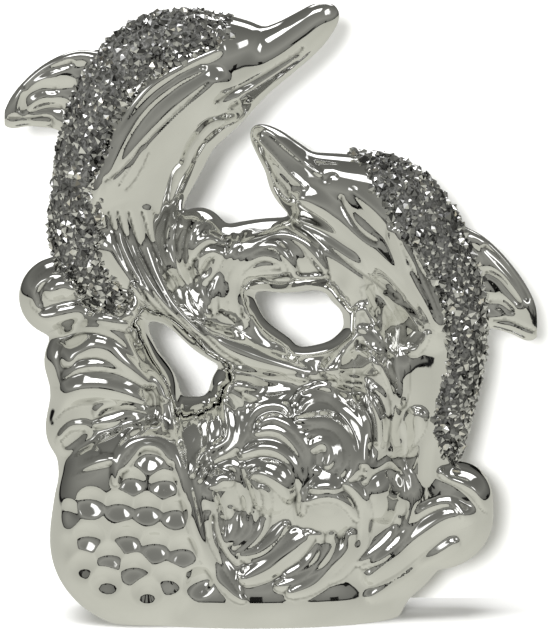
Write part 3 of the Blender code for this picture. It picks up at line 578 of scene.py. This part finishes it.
# The column at the left, from its crest down to the mound.
for radius, points in (
    (1.2, ((-37, 43), (-36.5, 45.3), (-34.5, 46.8), (-31.5, 47.6), (-28.5, 47.4), (-25.5, 46), (-23, 43.5),
           (-21, 41), (-19, 38), (-17.5, 35.5))),
    (1.7, ((-33.3, 41.5), (-32.5, 43.3), (-30, 44.2), (-27, 43.8), (-24.5, 42), (-22, 40), (-20, 38))),
    (1.0, ((-34, 39), (-32, 40.5), (-29, 41), (-26, 40.6), (-23, 39.3), (-21, 38))),
    (1.0, ((-35, 37.5), (-32, 38.6), (-29, 39), (-26, 38.9), (-23.5, 37.9), (-21.3, 36.8))),
    (1.9, ((-36.5, 33), (-35, 35.5), (-32, 37), (-29, 37.3), (-26, 36.9), (-23, 36), (-20.7, 34.8))),
    (0.9, ((-28.7, 33), (-28, 34.3), (-26, 35), (-23.5, 34.9), (-21, 34), (-19, 32.5), (-17.5, 31))),
    (0.9, ((-29, 31.5), (-26, 32), (-23.5, 32.8), (-21, 32.4), (-19, 31.5), (-18, 30.6))),
    (0.8, ((-25, 30), (-24, 31.3), (-22.5, 31.8), (-20.5, 31.5), (-18.3, 30.5))),
    (1.1, ((-25.5, 22), (-25.2, 25), (-24.3, 27.2), (-22.5, 29), (-20, 29.8), (-17.5, 29), (-16, 27),
           (-15, 24), (-14.6, 20))),
    (0.8, ((-24.5, 24), (-22, 27.8), (-20, 28.3), (-17.8, 27.5), (-16.5, 25.5))),
    (0.7, ((-35, 29), (-33, 31), (-31, 31.3), (-30, 31), (-29.8, 30), (-31, 28.5), (-33, 27), (-34.5, 27),
           (-35, 28.6))),
    (0.9, ((-33.2, 25.2), (-31, 26.3), (-28.5, 27))),
    (0.9, ((-33.5, 24), (-31, 25), (-28, 25.8), (-26, 26))),
    (1.2, ((-35, 46.5), (-36.3, 44.5), (-36.6, 42), (-36, 39.5), (-34.8, 37.8))),
    (1.0, ((-22.2, 52), (-21.8, 48), (-21.5, 45.3), (-20, 42), (-18.3, 39.5), (-16.8, 37), (-15.6, 35.5))),
    (1.0, ((-16.3, 34), (-16, 29), (-15.5, 26), (-14, 20), (-12.5, 14), (-10, 9), (-7, 4.5), (-5, 3))),
):
    strand(radius, points)

# Swirls between the dolphins.
for points in (
    ((-10.5, 49), (-14, 53), (-16, 58), (-16.7, 62), (-16.3, 65.5)),
    ((-11, 50), (-14.5, 55), (-15.5, 60), (-15, 64), (-14.5, 65.5)),
    ((-14, 57), (-13.8, 60), (-13, 63), (-11.5, 65), (-9.5, 65), (-8.3, 63), (-7.5, 61.8)),
    ((-13.5, 58.5), (-12.5, 60.5), (-10.5, 61.8), (-8, 61)),
    ((-12.5, 56), (-11.5, 58.5), (-10, 59.4), (-9, 59), (-9.5, 57), (-11, 55)),
    ((-10.5, 50.5), (-12.2, 53.5), (-11, 55.4)),
    ((-9.6, 49.5), (-9.8, 52.5), (-8.6, 56), (-7, 59), (-6.3, 61), (-5.8, 62.5)),
    ((-5.5, 60.5), (-1, 63), (2.5, 64)),
    ((-8.6, 50), (-8.6, 53), (-8, 55.6), (-6, 58.5), (-3, 61), (0, 62.7), (2.5, 62.6), (5, 61), (6.5, 59),
     (7, 58), (8.3, 56)),
    ((-7.8, 49.5), (-7.8, 52), (-7.2, 54.5), (-6, 57), (-3.5, 59.6), (-1, 60.5), (0.5, 60), (2, 58),
     (3, 56), (4, 55)),
    ((-6.8, 49), (-7, 52), (-6.4, 54.4), (-5, 57), (-2.5, 58.7), (-0.5, 58.6), (1, 57.5), (1.7, 56)),
    ((-6, 48.5), (-6.2, 53), (-4.5, 55.5), (-2, 57), (0.5, 57)),
    ((-5.2, 50.5), (-4.5, 54), (-2.5, 55.7), (1, 56)),
    ((-4.4, 49), (-4.6, 51.5), (-3.6, 53.4), (-2, 54.3), (1, 54.2), (5, 54.8), (8.5, 55.4)),
):
    strand(0.95, points, 0.95)
for x in (3.2, 4.8, 6.4, 8.0):
    pad((x, 55.2), 0.8, 0.7, 0.4, 0, 0.6)

# Sprays under the tail, the arches of the middle lock and the left lock.
for radius, points in (
    (0.9, ((-10.3, 38), (-9, 35.8), (-7.8, 33.5), (-7.3, 31), (-7.6, 29), (-9, 27.9), (-11, 26.8),
           (-12.6, 25.3), (-13.4, 23.3))),
    (0.8, ((-9.3, 38), (-7.5, 36), (-6, 34), (-5.6, 32), (-5.8, 30), (-6.3, 28.3), (-8, 26.8), (-10, 25.8),
           (-11.3, 24.2), (-12, 22.5))),
    (0.7, ((-8, 37.6), (-6, 35.8), (-4.8, 33.8), (-4.6, 31.5), (-5, 29.3), (-5.8, 27.2))),
    (1.2, ((-10.5, 38.5), (-6, 38.3), (-2, 37.7), (2, 38), (5, 38.6))),
    (0.8, ((-5, 36.6), (-3.3, 36.1), (-1, 36), (1.5, 36.4), (3.5, 37.8), (6, 38.2))),
    (0.8, ((-4.2, 31.5), (-3.6, 33.3), (-2, 34.5), (0, 34.8), (1.6, 34.3), (2.3, 33))),
    (0.9, ((-2.7, 31.3), (-1.8, 32), (-0.2, 32.4), (1.2, 31.9), (2.3, 31.3), (3.8, 29.8), (5.2, 27.5),
           (5.4, 25), (5, 22), (4.4, 19.5))),
    (0.8, ((-3, 30.2), (-1, 30.7), (1, 30.3), (2.8, 28.8), (4.2, 26.5), (4.6, 24))),
    (1.0, ((-5.4, 26.6), (-4, 27.2), (-2, 27.7), (0.3, 27.3), (2.3, 25.8), (3.6, 23.5), (4.3, 20.5),
           (4.3, 17))),
    (0.8, ((-4.6, 24.6), (-2.5, 25.2), (-0.3, 24.9), (1.3, 23.9), (2.5, 22.2), (3, 20))),
    (1.2, ((-4, 23.5), (-2, 23.8), (0, 22.8), (1.8, 21), (2.2, 19.5))),
    (0.8, ((-10.5, 21.5), (-9.8, 23.3), (-8.3, 24.5), (-6.8, 24.7), (-6, 24))),
    (1.3, ((-9.8, 22), (-8.5, 23), (-7.3, 22.5))),
    (0.8, ((-6.3, 24.5), (-5.5, 22), (-4.5, 19.5), (-4.2, 17.5))),
    (0.8, ((-5.2, 25), (-4, 22.5), (-3, 20), (-2.6, 18))),
    (0.7, ((-2.2, 21.3), (-1.2, 20), (-1.3, 16.8))),
):
    strand(radius, points)

# Strands that sweep down to the point of the foot, and the tongues beside them.
for radius, points in (
    (0.9, ((-13.6, 18), (-12.8, 14), (-11.5, 11), (-9.8, 8), (-7.8, 5.2), (-5.5, 3.6))),
    (0.8, ((-10.6, 17.3), (-10.3, 14), (-9.6, 11.5), (-8.3, 9), (-6.8, 6.5), (-5.4, 4.2))),
    (0.7, ((-9.2, 16.8), (-8.9, 14.5), (-8.2, 12.7), (-7.2, 10.8), (-5.8, 9.2))),
    (0.8, ((-7.2, 18), (-6.5, 15.5), (-7, 13.5), (-7.8, 12.4))),
    (0.8, ((-4.6, 17.3), (-5, 15), (-6.2, 13), (-7.8, 12.2))),
    (0.8, ((-3.2, 17.5), (-3.7, 15), (-5, 12.8), (-6.8, 11.5))),
    (0.8, ((-1.3, 16.5), (-2.3, 14.3), (-4, 12), (-6.2, 10.6))),
    (1.0, ((1.9, 15.3), (0, 12.8), (-2.5, 10.8), (-5.5, 10.1))),
    (0.9, ((4, 14.2), (2.5, 13.2), (0.5, 11.5), (-2, 9.8), (-4.5, 9.4))),
    (1.7, ((-5.2, 6.6), (-3.0, 7.6), (-0.4, 8.8), (2.2, 10.6), (4.2, 12.4), (6.0, 13.4))),
    (1.1, ((7.2, 13.6), (7, 11.4), (6, 9.4), (4.2, 8), (1.6, 7.0))),
    (1.3, ((9.2, 13.6), (8.8, 11.2), (7.6, 9), (5.6, 7.2), (3, 6.0), (0.4, 5.4))),
    (1.5, ((12.4, 13.8), (11.6, 11.2), (10, 9), (7.8, 7.1), (5.4, 5.5), (2.4, 4.2))),
    (1.1, ((13.2, 12), (11.5, 9.5), (9.5, 7.8), (7.5, 6.6))),
):
    strand(radius, points)

# The third lock and the spiral over it.
for radius, points in (
    (1.0, ((10.2, 22.2), (12.3, 21.4), (13.8, 19.5), (14.5, 17), (14.3, 14), (13.6, 11.5), (12, 9), (10, 7),
           (7, 5.8))),
    (1.6, ((6.3, 21.5), (8.5, 22), (9.8, 21.5))),
    (0.8, ((5.2, 18.9), (6.5, 19.6), (8.5, 20), (10.5, 19.5), (12.2, 18), (13.3, 16))),
    (0.8, ((4.2, 19), (5, 21.5), (5.8, 23.3), (7.2, 24))),
    (0.75, ((4.8, 29.4), (6, 30), (7.6, 30.1), (9.2, 29.5), (10.2, 28), (10.5, 26.3), (10, 24.7),
            (8.8, 23.6), (7.4, 23.4), (6.5, 24))),
    (0.8, ((3.2, 30.8), (5, 31), (7.3, 31.4), (9.3, 31), (10.8, 29.7), (11.6, 27.8), (11.5, 25.5),
           (10.6, 23.5), (9.5, 22.5))),
    (1.1, ((3.5, 32.2), (6, 32.2), (8.5, 32.2), (10.5, 31.2), (12.2, 29), (13, 26.5), (12.8, 24),
           (11.8, 22.5))),
    (1.1, ((6, 27.5), (6.8, 28.5), (8, 28.7), (9, 27.8), (9.2, 26.2), (8.4, 24.6))),
    (0.8, ((3.8, 33.5), (4.8, 35.2), (6.5, 36), (8.8, 35.8), (10.8, 34.3), (12.6, 31.8), (13.8, 29),
           (14.2, 26), (13.8, 23.5))),
    (0.7, ((3, 34.5), (4.2, 36.6), (6.3, 37.6), (8.6, 37.4), (10.6, 35.8), (12.6, 33.2), (14, 30.5),
           (14.9, 27.5), (14.8, 24.5))),
    (0.7, ((8.6, 38.2), (10.5, 37.5), (12, 36.3), (13.8, 34), (15, 31), (15.3, 28))),
    (1.0, ((10.8, 37.7), (13, 37.2), (15.2, 35.6), (16.6, 33.2), (17, 30.5), (16.7, 27.7), (15.8, 25.2),
           (14.5, 23.5))),
    (0.6, ((15.6, 37.6), (17, 36.6), (17.9, 34.5), (18.1, 31.5), (17.8, 28.5), (17.3, 26))),
    (0.6, ((18.6, 38), (19.3, 35.5), (19.5, 32.5), (19.1, 29.5), (18.4, 27), (18, 25.4))),
):
    strand(radius, points)
pad((8.0, 17.5), 5.0, 5.0, 2.0)
pad((-8.6, 20.3), 3.2, 4.2, 1.5)
pad((-0.5, 21.3), 4.2, 4.8, 1.7)

# The knot under the heart and the leaves that rise from it to the right.
for radius, points in (
    (0.8, ((8.3, 39.6), (10.5, 40), (12.8, 39.3), (15, 38))),
    (0.8, ((8, 40.5), (10, 41.8), (12, 43.8), (12.6, 45))),
    (1.9, ((8.5, 40.2), (11, 41.2), (14, 42), (16, 41))),
    (0.8, ((12.3, 45), (13.5, 46), (15, 45), (16.5, 42.8), (18.3, 39.3), (19, 37))),
    (0.8, ((12.8, 46.6), (14.5, 46.7), (16.2, 44.6), (18, 41.5), (19.3, 38.8), (20, 36))),
    (1.2, ((15.5, 47), (18, 44.5), (20, 42), (20.3, 38), (20.3, 34.5))),
    (0.7, ((14.5, 53.5), (15.3, 51.5), (15.9, 50.5))),
    (0.7, ((13, 49.8), (14.6, 50.3), (15.4, 49), (15.9, 47.6))),
    (0.6, ((12.4, 46.8), (12.9, 48.3), (13, 49.6))),
    (0.7, ((17.2, 47.2), (18, 45.8), (18.8, 45))),
    (0.8, ((20, 51.5), (21, 50), (22, 48.5), (23.3, 47.3))),
    (0.7, ((17, 45), (19, 44.7), (21, 43.7), (22.5, 43.5), (23.5, 44.2), (24.8, 46.3))),
    (1.6, ((19.2, 26.8), (21, 29), (22.5, 31.5), (23, 33))),
):
    strand(radius, points)

swell(1.9, 1.2, ((13.5, 43), (16, 42), (18.5, 38), (19.8, 33), (20, 28)))
swell(1.7, 1.0, ((10.5, 38.6), (14, 37), (16.4, 33), (17, 28.5)))
swell(1.6, 0.9, ((5, 37), (8.5, 37), (12, 34.5), (14.3, 30), (14.5, 25)))

# The fluke at the foot of the right dolphin and the lobe at the lower right.
for radius, points in (
    (0.8, ((14.5, 22.2), (15.5, 23.8), (17.2, 24.9), (18.5, 25.5), (20, 24.8), (21.5, 23), (22.2, 20.5),
           (22.3, 18), (21.7, 15.6), (20.2, 13), (18, 11), (15.5, 9.5), (13.2, 9))),
    (0.8, ((20.2, 16.3), (19.6, 14.0), (17.8, 11.8), (15.5, 10.0), (13.2, 8.8))),
    (0.7, ((14, 8.2), (17, 9.8), (19.5, 12), (21.7, 14.8), (23.3, 16.9), (26, 18.3), (28.3, 18.7),
           (30, 17.9), (30.5, 16))),
    (1.3, ((27, 23.5), (30, 22.8), (32.5, 21.2), (34, 19.3), (34.6, 17.8))),
):
    strand(radius, points)
pad((18, 19.6), 3.8, 4.6, 1.8)
swell(2.7, 1.5, ((15.5, 6.6), (19.5, 9.8), (23.5, 13.2), (27.5, 15.9), (31, 16.6)))
swell(1.9, 0.9, ((15.5, 3.4), (20.5, 5.4), (24.8, 8.6), (29, 12)))

# Dimples pressed into the mound: round bowls, deeper towards their upper edge, wider lower down the mound.
BOWL = 2.45
BOWL_DEPTH = 0.45
BOWL_TILT = 0.6
DIMPLES = (
    (-20, 25.9), (-23, 22.3), (-17.8, 21.9), (-29.6, 18.8), (-25, 18.2), (-20.5, 17.8), (-15.9, 17.2),
    (-33.8, 17), (-30, 13), (-23.7, 13), (-19.3, 11.8), (-14.8, 11), (-34, 11.2), (-26.6, 10), (-31, 8.4),
    (-22.6, 8), (-27.3, 6), (-17.1, 6.2), (-12.4, 5.9), (-20.4, 4.3),
)
bowls = np.zeros(map_size)
for x, z in DIMPLES:
    wide = BOWL * (0.88 if z > 20 else 1.0 if z > 15 else 1.1)
    cut, gx, gz = patch([(x, z)], wide)
    bowl = np.clip(1 - ((gx - x) ** 2 + (gz - z) ** 2) / wide ** 2, 0, 1)
    bowls[cut] = np.maximum(bowls[cut], BOWL_DEPTH * wide * bowl * (1 + BOWL_TILT * (gz - z) / wide))
forms -= bowls

# The back shows the broad forms only, and shallower.
BACK_SHARE = 0.7
BACK_ROUNDS = 30
relief = soften(forms + strands - furrows, 1)
plain_relief = BACK_SHARE * soften(forms + strands, BACK_ROUNDS)


def read_map(field, x, z):
    """Value of a map between its steps."""
    across = np.clip((x - map_low[0]) / MAP_STEP, 0, map_size[0] - 1.001)
    up = np.clip((z - map_low[1]) / MAP_STEP, 0, map_size[1] - 1.001)
    i, k = across.astype(int), up.astype(int)
    a, c = across - i, up - k
    level = field[i, k] * (1 - a) * (1 - c) + field[i + 1, k] * a * (1 - c)
    return level + field[i, k + 1] * (1 - a) * c + field[i + 1, k + 1] * a * c


# Slope of the skin, as seen from the front, where about half of the relief is left.
SHEER = 1.5


def steepness(field):
    """How much of the relief each place of the grid carries: all on the front, little on its steep sides."""
    solid = field < 0
    first = np.argmax(solid, axis=1)
    hit = solid.any(axis=1) & (first > 0)
    depth = np.where(hit, -(low_corner[1] + VOXEL * first), 0).astype(float)
    depth = soften(depth, 5)
    across, up = np.gradient(depth, VOXEL)
    gentle = np.where(hit, 1 / (1 + (np.hypot(across, up) / SHEER) ** 4), 0)
    return soften(gentle, 4) * np.clip(1.25 * soften(gentle, 22), 0, 1)


carried = steepness(clay)

# The skin moves out by the relief: the front by all of it, the back by its broad forms only. Near the middle
# plane the move fades out, over more depth where the relief is higher, so that the skin never folds.
carved = np.empty_like(clay)
grid_x = np.repeat(axes[0][:, None], counts[2], axis=1)
grid_z = np.repeat(axes[2][None, :], counts[0], axis=0)
for row, y in enumerate(axes[1]):
    field, way = (relief, 1) if y < 0 else (plain_relief, -1)
    shift = read_map(field, grid_x, grid_z + way * SIGHT_SLOPE * y)
    fade = np.minimum(1.0, abs(y) / np.maximum(0.8, 1.3 * np.abs(shift)))
    source = y + way * shift * carried * fade
    place = np.clip((source - low_corner[1]) / VOXEL, 0, counts[1] - 1.001)
    near = place.astype(int)
    part = place - near
    first = np.take_along_axis(clay, near[:, None, :], axis=1)[:, 0, :]
    after = np.take_along_axis(clay, near[:, None, :] + 1, axis=1)[:, 0, :]
    carved[:, row, :] = first * (1 - part) + after * part
clay = soften(carved, 1)

# The underside is cut flat.
clay = np.maximum(clay, -axes[2][None, None, :])

volume = openvdb.FloatGrid(EMPTY)
volume.copyFromArray(clay)
points, triangles, quads = volume.convertToPolygons(isovalue=0.0, adaptivity=0.0)
places = points * VOXEL + low_corner


def mesh_from(name, places, quads, triangles):
    """A mesh from arrays of places and corners."""
    mesh = bpy.data.meshes.new(name)
    corners = np.concatenate([quads.ravel(), triangles.ravel()])
    sizes = np.concatenate([np.full(len(quads), 4), np.full(len(triangles), 3)])
    mesh.vertices.add(len(places))
    mesh.vertices.foreach_set("co", places.astype(np.float32).ravel())
    mesh.loops.add(len(corners))
    mesh.loops.foreach_set("vertex_index", corners.astype(np.int32))
    mesh.polygons.add(len(sizes))
    mesh.polygons.foreach_set("loop_start", np.concatenate([[0], np.cumsum(sizes)[:-1]]).astype(np.int32))
    mesh.update(calc_edges=True)
    mesh.validate()
    return mesh


raw = mesh_from("casting", places * UNIT, quads, triangles)
casting = bpy.data.objects.new("casting", raw)
bpy.context.scene.collection.objects.link(casting)
total = 2 * len(quads) + len(triangles)

# Faces go where the detail is: the back keeps fewer.
on_back = places[:, 1] > 1.0
plain = casting.vertex_groups.new(name="plain back")
plain.add(np.nonzero(on_back)[0].tolist(), 1.0, "REPLACE")
back_faces = 2 * int(on_back[quads[:, 0]].sum())
thin = casting.modifiers.new("fewer faces on the back", "DECIMATE")
thin.vertex_group = "plain back"
thin.ratio = 1 - (back_faces - BACK_FACES) / total
again = casting.modifiers.new("fewer faces", "DECIMATE")
again.ratio = min(1.0, FACES / (total - back_faces + BACK_FACES))
thinned = bpy.data.meshes.new_from_object(casting.evaluated_get(bpy.context.evaluated_depsgraph_get()))
casting.modifiers.clear()
casting.vertex_groups.clear()
casting.data = thinned
bpy.data.meshes.remove(raw)


def sample(field, places):
    """Value of a field between its voxels, at many places."""
    spots = (places - low_corner) / VOXEL
    base = np.clip(np.floor(spots).astype(int), 0, np.array(field.shape) - 2)
    share = np.clip(spots - base, 0, 1)
    value = np.zeros(len(places))
    for i in (0, 1):
        for j in (0, 1):
            for k in (0, 1):
                weight = np.abs(1 - i - share[:, 0]) * np.abs(1 - j - share[:, 1])
                weight *= np.abs(1 - k - share[:, 2])
                value += weight * field[base[:, 0] + i, base[:, 1] + j, base[:, 2] + k]
    return value


def slope_at(places):
    """Outward direction of the clay at many places, and how steep the field is."""
    step = 0.5 * VOXEL
    parts = []
    for axis in range(3):
        shift = np.zeros(3)
        shift[axis] = step
        parts.append((sample(clay, places + shift) - sample(clay, places - shift)) / (2 * step))
    slope = np.stack(parts, axis=1)
    steep = np.linalg.norm(slope, axis=1, keepdims=True)
    return slope / np.maximum(steep, 1e-6), steep


# Every corner of the thinned mesh is drawn back to the clay's true skin, and shaded as that skin lies.
spots = np.zeros(len(thinned.vertices) * 3, np.float32)
thinned.vertices.foreach_get("co", spots)
spots = spots.reshape(-1, 3).astype(float) / UNIT
outward, steep = slope_at(spots)
spots -= outward * np.clip(sample(clay, spots)[:, None] / np.maximum(steep, 0.3), -0.3, 0.3)
outward, steep = slope_at(spots)
casting_box = [np.array(corner) / UNIT for corner in cad_box]
spots = np.clip(spots, casting_box[0], casting_box[1])
thinned.vertices.foreach_set("co", (spots * UNIT).astype(np.float32).ravel())
thinned.shade_smooth()
thinned.normals_split_custom_set_from_vertices(outward.tolist())

# Painted shade: a dark tone in the creases of the relief and in narrow hollows, where shade falls, kept off
# the steep sides.
drawn = soften(relief, 3) - relief
seen_z = spots[:, 2] + SIGHT_SLOPE * spots[:, 1]
under_relief = np.where(spots[:, 1] < 0, read_map(drawn, spots[:, 0], seen_z), 0)
under_skin = -sample(soften(clay, 4), spots)
crease = np.clip(np.maximum(9 * under_relief - 0.2, 3 * under_skin - 0.35), 0, 1)
column = [np.round((spots[:, axis] - low_corner[axis]) / VOXEL).astype(int) for axis in (0, 2)]
flat_share = carried[column[0], column[1]]
crease *= np.clip(1.4 * flat_share, 0, 1)
thinned.attributes.new("crease", "FLOAT", "POINT").data.foreach_set("value", crease.astype(np.float32))
thinned.update()

plate = bpy.data.materials.new("bright_silver_plate")
plate.use_nodes = True
tree = plate.node_tree
shader = tree.nodes["Principled BSDF"]
shader.inputs["Metallic"].default_value = 1.0
place = add_node(tree, "ShaderNodeTexCoord").outputs["Object"]
cloud = add_node(tree, "ShaderNodeTexNoise", {"Vector": place, "Scale": 45.0, "Detail": 3.0})
tint = colour_ramp(tree, cloud.outputs["Fac"], ((0.3, (0.87, 0.87, 0.85)), (0.7, (0.93, 0.93, 0.915))))
# The crease attribute darkens the plate's colour: painted shade in the creases and narrow hollows.
crease_shade = add_node(tree, "ShaderNodeAttribute", attribute_name="crease").outputs["Fac"]
painted_crease_shade = colour_ramp(tree, crease_shade, ((0.0, (1.0, 1.0, 1.0)), (0.3, (0.6, 0.6, 0.59)), (0.8, (0.06, 0.06, 0.055))))
tree.links.new(mix_colours(tree, "MULTIPLY", tint, painted_crease_shade), shader.inputs["Base Color"])
haze = add_node(tree, "ShaderNodeTexNoise", {"Vector": place, "Scale": 120.0, "Detail": 4.0})
limits = {"Value": haze.outputs["Fac"], "From Min": 0.3, "From Max": 0.8, "To Min": 0.025, "To Max": 0.07}
gloss = add_node(tree, "ShaderNodeMapRange", limits)
tree.links.new(gloss.outputs["Result"], shader.inputs["Roughness"])
ripple = add_node(tree, "ShaderNodeTexNoise", {"Vector": place, "Scale": 70.0, "Detail": 2.0})
bumps = {"Strength": 0.08, "Distance": 0.0006, "Height": ripple.outputs["Fac"]}
wavy = add_node(tree, "ShaderNodeBump", bumps)
tree.links.new(wavy.outputs["Normal"], shader.inputs["Normal"])
thinned.materials.clear()
thinned.materials.append(plate)
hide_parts("figure")
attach(casting, "root")

# Stones on the left dolphin
# Crushed stones of metal-coated glass, pointed chips 2 to 5 mm across, scattered by hand into a bed of dark
# glue spread over the back from behind the beak almost to the tail. They leave out the fin.
BED_RISE = 0.7
BED_SINK = -0.5
BURIED = -0.25
CHIP_WOBBLE = 0.38
BED_ROWS = 90
BED_COLUMNS = 44
# Grades of chips: smallest and largest size, gap from chip to chip, and how many are tried.
CHIP_GRADES = ((0.62, 0.95, 1.25, 5000), (0.42, 0.6, 0.85, 6000))


def spine_frame(sections, position, turn):
    """Centre, back direction, half-width and half-depth of a body; position counts its sections."""
    x, z, wide, deep = along(sections, position)
    ahead = along(sections, min(position + 0.02, len(sections) - 1.001))
    behind = along(sections, max(position - 0.02, 0))
    heading = np.array([ahead[0] - behind[0], ahead[1] - behind[1]])
    heading /= np.linalg.norm(heading)
    return np.array([x, 0, z]), np.array([heading[1], 0, -heading[0]]) * turn, wide, deep


def skin_point(sections, turn, position, angle, over):
    """Place over the skin of a body, in units, at an angle from the ridge of its back, and the way out."""
    centre, back, wide, deep = spine_frame(sections, position, turn)
    across = np.array([0, 1, 0])
    out = back * math.cos(angle) / wide + across * math.sin(angle) / deep
    out /= np.linalg.norm(out)
    return centre + back * math.cos(angle) * wide + across * math.sin(angle) * deep + out * over, out


def band_reach(band, position):
    """How far the band reaches down each side at a position, in radians from the ridge."""
    share = (position - band["start"]) / (band["end"] - band["start"])
    steps = [[value] for value in band["reach"]]
    return math.radians(along(steps, share * (len(steps) - 1))[0])


def glue_bed(name, sections, turn, band):
    """The bed of glue: a thin skin over the back, thick in the middle and running out at its edges."""
    rows, columns = BED_ROWS, BED_COLUMNS
    places = []
    for row in range(rows + 1):
        position = band["start"] + (band["end"] - band["start"]) * row / rows
        for column in range(columns + 1):
            across = 2 * column / columns - 1
            reach = band_reach(band, position) * (1 + 0.05 * rng.uniform(-1, 1))
            edge = min(1, 4 * (1 - abs(across)), 8 * row / rows, 8 * (1 - row / rows))
            over = BED_SINK + (BED_RISE - BED_SINK) * edge ** 0.5 + rng.uniform(-0.07, 0.07)
            places.append(skin_point(sections, turn, position, across * reach, over)[0])
    quads = []
    for row in range(rows):
        for column in range(columns):
            first = row * (columns + 1) + column
            quads.append((first, first + 1, first + columns + 2, first + columns + 1))
    mesh = mesh_from(name, np.array(places) * UNIT, np.array(quads), np.zeros((0, 3), int))
    mesh.shade_smooth()
    bed = bpy.data.objects.new(name, mesh)
    bpy.context.scene.collection.objects.link(bed)
    return bed


def chip_shape(size, points, corners):
    """Adds one pointed chip: a ring of corners, a point above it and a blunt point below."""
    sides = rng.choice((4, 5, 6, 6, 7))
    first = len(points)
    turn = rng.uniform(0, math.tau)
    for side in range(sides):
        angle = turn + math.tau * (side + rng.uniform(-0.18, 0.18)) / sides
        radius = size * rng.uniform(0.75, 1.15)
        points.append(Vector((radius * math.cos(angle), radius * math.sin(angle),
                              size * rng.uniform(-0.12, 0.12))))
    lean = size * 0.3
    points.append(Vector((rng.uniform(-lean, lean), rng.uniform(-lean, lean),
                          size * rng.uniform(0.45, 0.95))))
    points.append(Vector((0, 0, -size * 0.7)))
    for side in range(sides):
        here, after = first + side, first + (side + 1) % sides
        corners.append((here, after, first + sides))
        corners.append((after, here, first + sides + 1))


def chips(name, sections, turn, band):
    """The chips: large ones first, then small ones into the gaps, each set at its own tilt."""
    points, corners, tones_and_glints = [], [], []
    centres = np.zeros((0, 3))
    for size_low, size_high, gap, tries in CHIP_GRADES:
        for _ in range(tries):
            position = rng.uniform(band["start"] + 0.03, band["end"] - 0.03)
            reach = band_reach(band, position) + rng.uniform(-0.05, 0.03)
            angle = rng.uniform(-reach, reach)
            spot, out = skin_point(sections, turn, position, angle, BED_RISE + rng.uniform(-0.1, 0.25))
            if len(centres) and np.min(np.linalg.norm(centres - spot, axis=1)) < gap * rng.uniform(0.85, 1.2):
                continue
            if sample(clay, spot[None, :])[0] < BURIED:
                continue
            centres = np.vstack([centres, spot])
            first = len(points)
            faces = len(corners)
            chip_shape(rng.uniform(size_low, size_high), points, corners)
            tilt = Vector(out).normalized()
            wobble = Vector([rng.gauss(0, CHIP_WOBBLE) for _ in range(3)])
            spin = (tilt + wobble).to_track_quat("Z", "Y").to_matrix()
            for index in range(first, len(points)):
                points[index] = spin @ points[index] + Vector(spot)
            # Each chip gets a tone of its own, its real colour, and each facet a random share on top: painted
            # glints and shade, as if the facets caught the light differently.
            whole = rng.random()
            tones_and_glints += [0.55 * whole + 0.45 * rng.random() for _ in range(len(corners) - faces)]
    mesh = bpy.data.meshes.new(name)
    mesh.from_pydata([point * UNIT for point in points], [], corners)
    layer = mesh.attributes.new("chip_tone_and_glint", "FLOAT", "FACE")
    layer.data.foreach_set("value", tones_and_glints)
    scatter = bpy.data.objects.new(name, mesh)
    bpy.context.scene.collection.objects.link(scatter)
    return scatter


rng = random.Random(11)
LEFT_BAND = {"start": 5.75, "end": 12.15, "reach": (50, 68, 73, 71, 68, 72, 77, 80, 74, 44)}
left_bed = glue_bed("left_stone_bed", LEFT_BODY, 1, LEFT_BAND)
left_chips = chips("left_stone_chips", LEFT_BODY, 1, LEFT_BAND)

glue = bpy.data.materials.new("dark_glue")
glue.use_nodes = True
tree = glue.node_tree
shader = tree.nodes["Principled BSDF"]
shader.inputs["Roughness"].default_value = 0.45
place = add_node(tree, "ShaderNodeTexCoord").outputs["Object"]
grain = add_node(tree, "ShaderNodeTexNoise", {"Vector": place, "Scale": 900.0, "Detail": 2.0})
tint = colour_ramp(tree, grain.outputs["Fac"], ((0.35, (0.035, 0.035, 0.033)), (0.65, (0.11, 0.11, 0.105))))
tree.links.new(tint, shader.inputs["Base Color"])
bumps = {"Strength": 0.6, "Distance": 0.0006, "Height": grain.outputs["Fac"]}
gritty = add_node(tree, "ShaderNodeBump", bumps)
tree.links.new(gritty.outputs["Normal"], shader.inputs["Normal"])
left_bed.data.materials.append(glue)

stone = bpy.data.materials.new("coated_glass_chips")
stone.use_nodes = True
tree = stone.node_tree
shader = tree.nodes["Principled BSDF"]
shader.inputs["Metallic"].default_value = 1.0
# The chip's own tone, with painted glints and shade from facet to facet.
shade = add_node(tree, "ShaderNodeAttribute", attribute_name="chip_tone_and_glint").outputs["Fac"]
tint = colour_ramp(
    tree, shade,
    ((0.08, (0.12, 0.12, 0.12)), (0.3, (0.42, 0.42, 0.42)), (0.55, (0.78, 0.78, 0.78)),
     (0.8, (1.0, 1.0, 0.99)), (0.97, (0.9, 0.84, 0.74))),
)
tree.links.new(tint, shader.inputs["Base Color"])
polish = add_node(tree, "ShaderNodeMapRange", {"Value": shade, "To Min": 0.12, "To Max": 0.04})
tree.links.new(polish.outputs["Result"], shader.inputs["Roughness"])
left_chips.data.materials.append(stone)
for piece in (left_bed, left_chips):
    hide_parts("left_dolphin_stones")
    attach(piece, "root")

# Stones on the right dolphin
# The same crushed chips in the same dark glue, scattered by hand down the back, from behind the beak to the
# top of the fluke. They leave out the fin here too.
rng = random.Random(23)
RIGHT_BAND = {"start": 4.85, "end": 12.1, "reach": (24, 66, 84, 88, 87, 84, 82, 84, 92, 88, 50)}
right_bed = glue_bed("right_stone_bed", RIGHT_BODY, -1, RIGHT_BAND)
right_chips = chips("right_stone_chips", RIGHT_BODY, -1, RIGHT_BAND)
right_bed.data.materials.append(glue)
right_chips.data.materials.append(stone)
for piece in (right_bed, right_chips):
    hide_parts("right_dolphin_stones")
    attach(piece, "root")
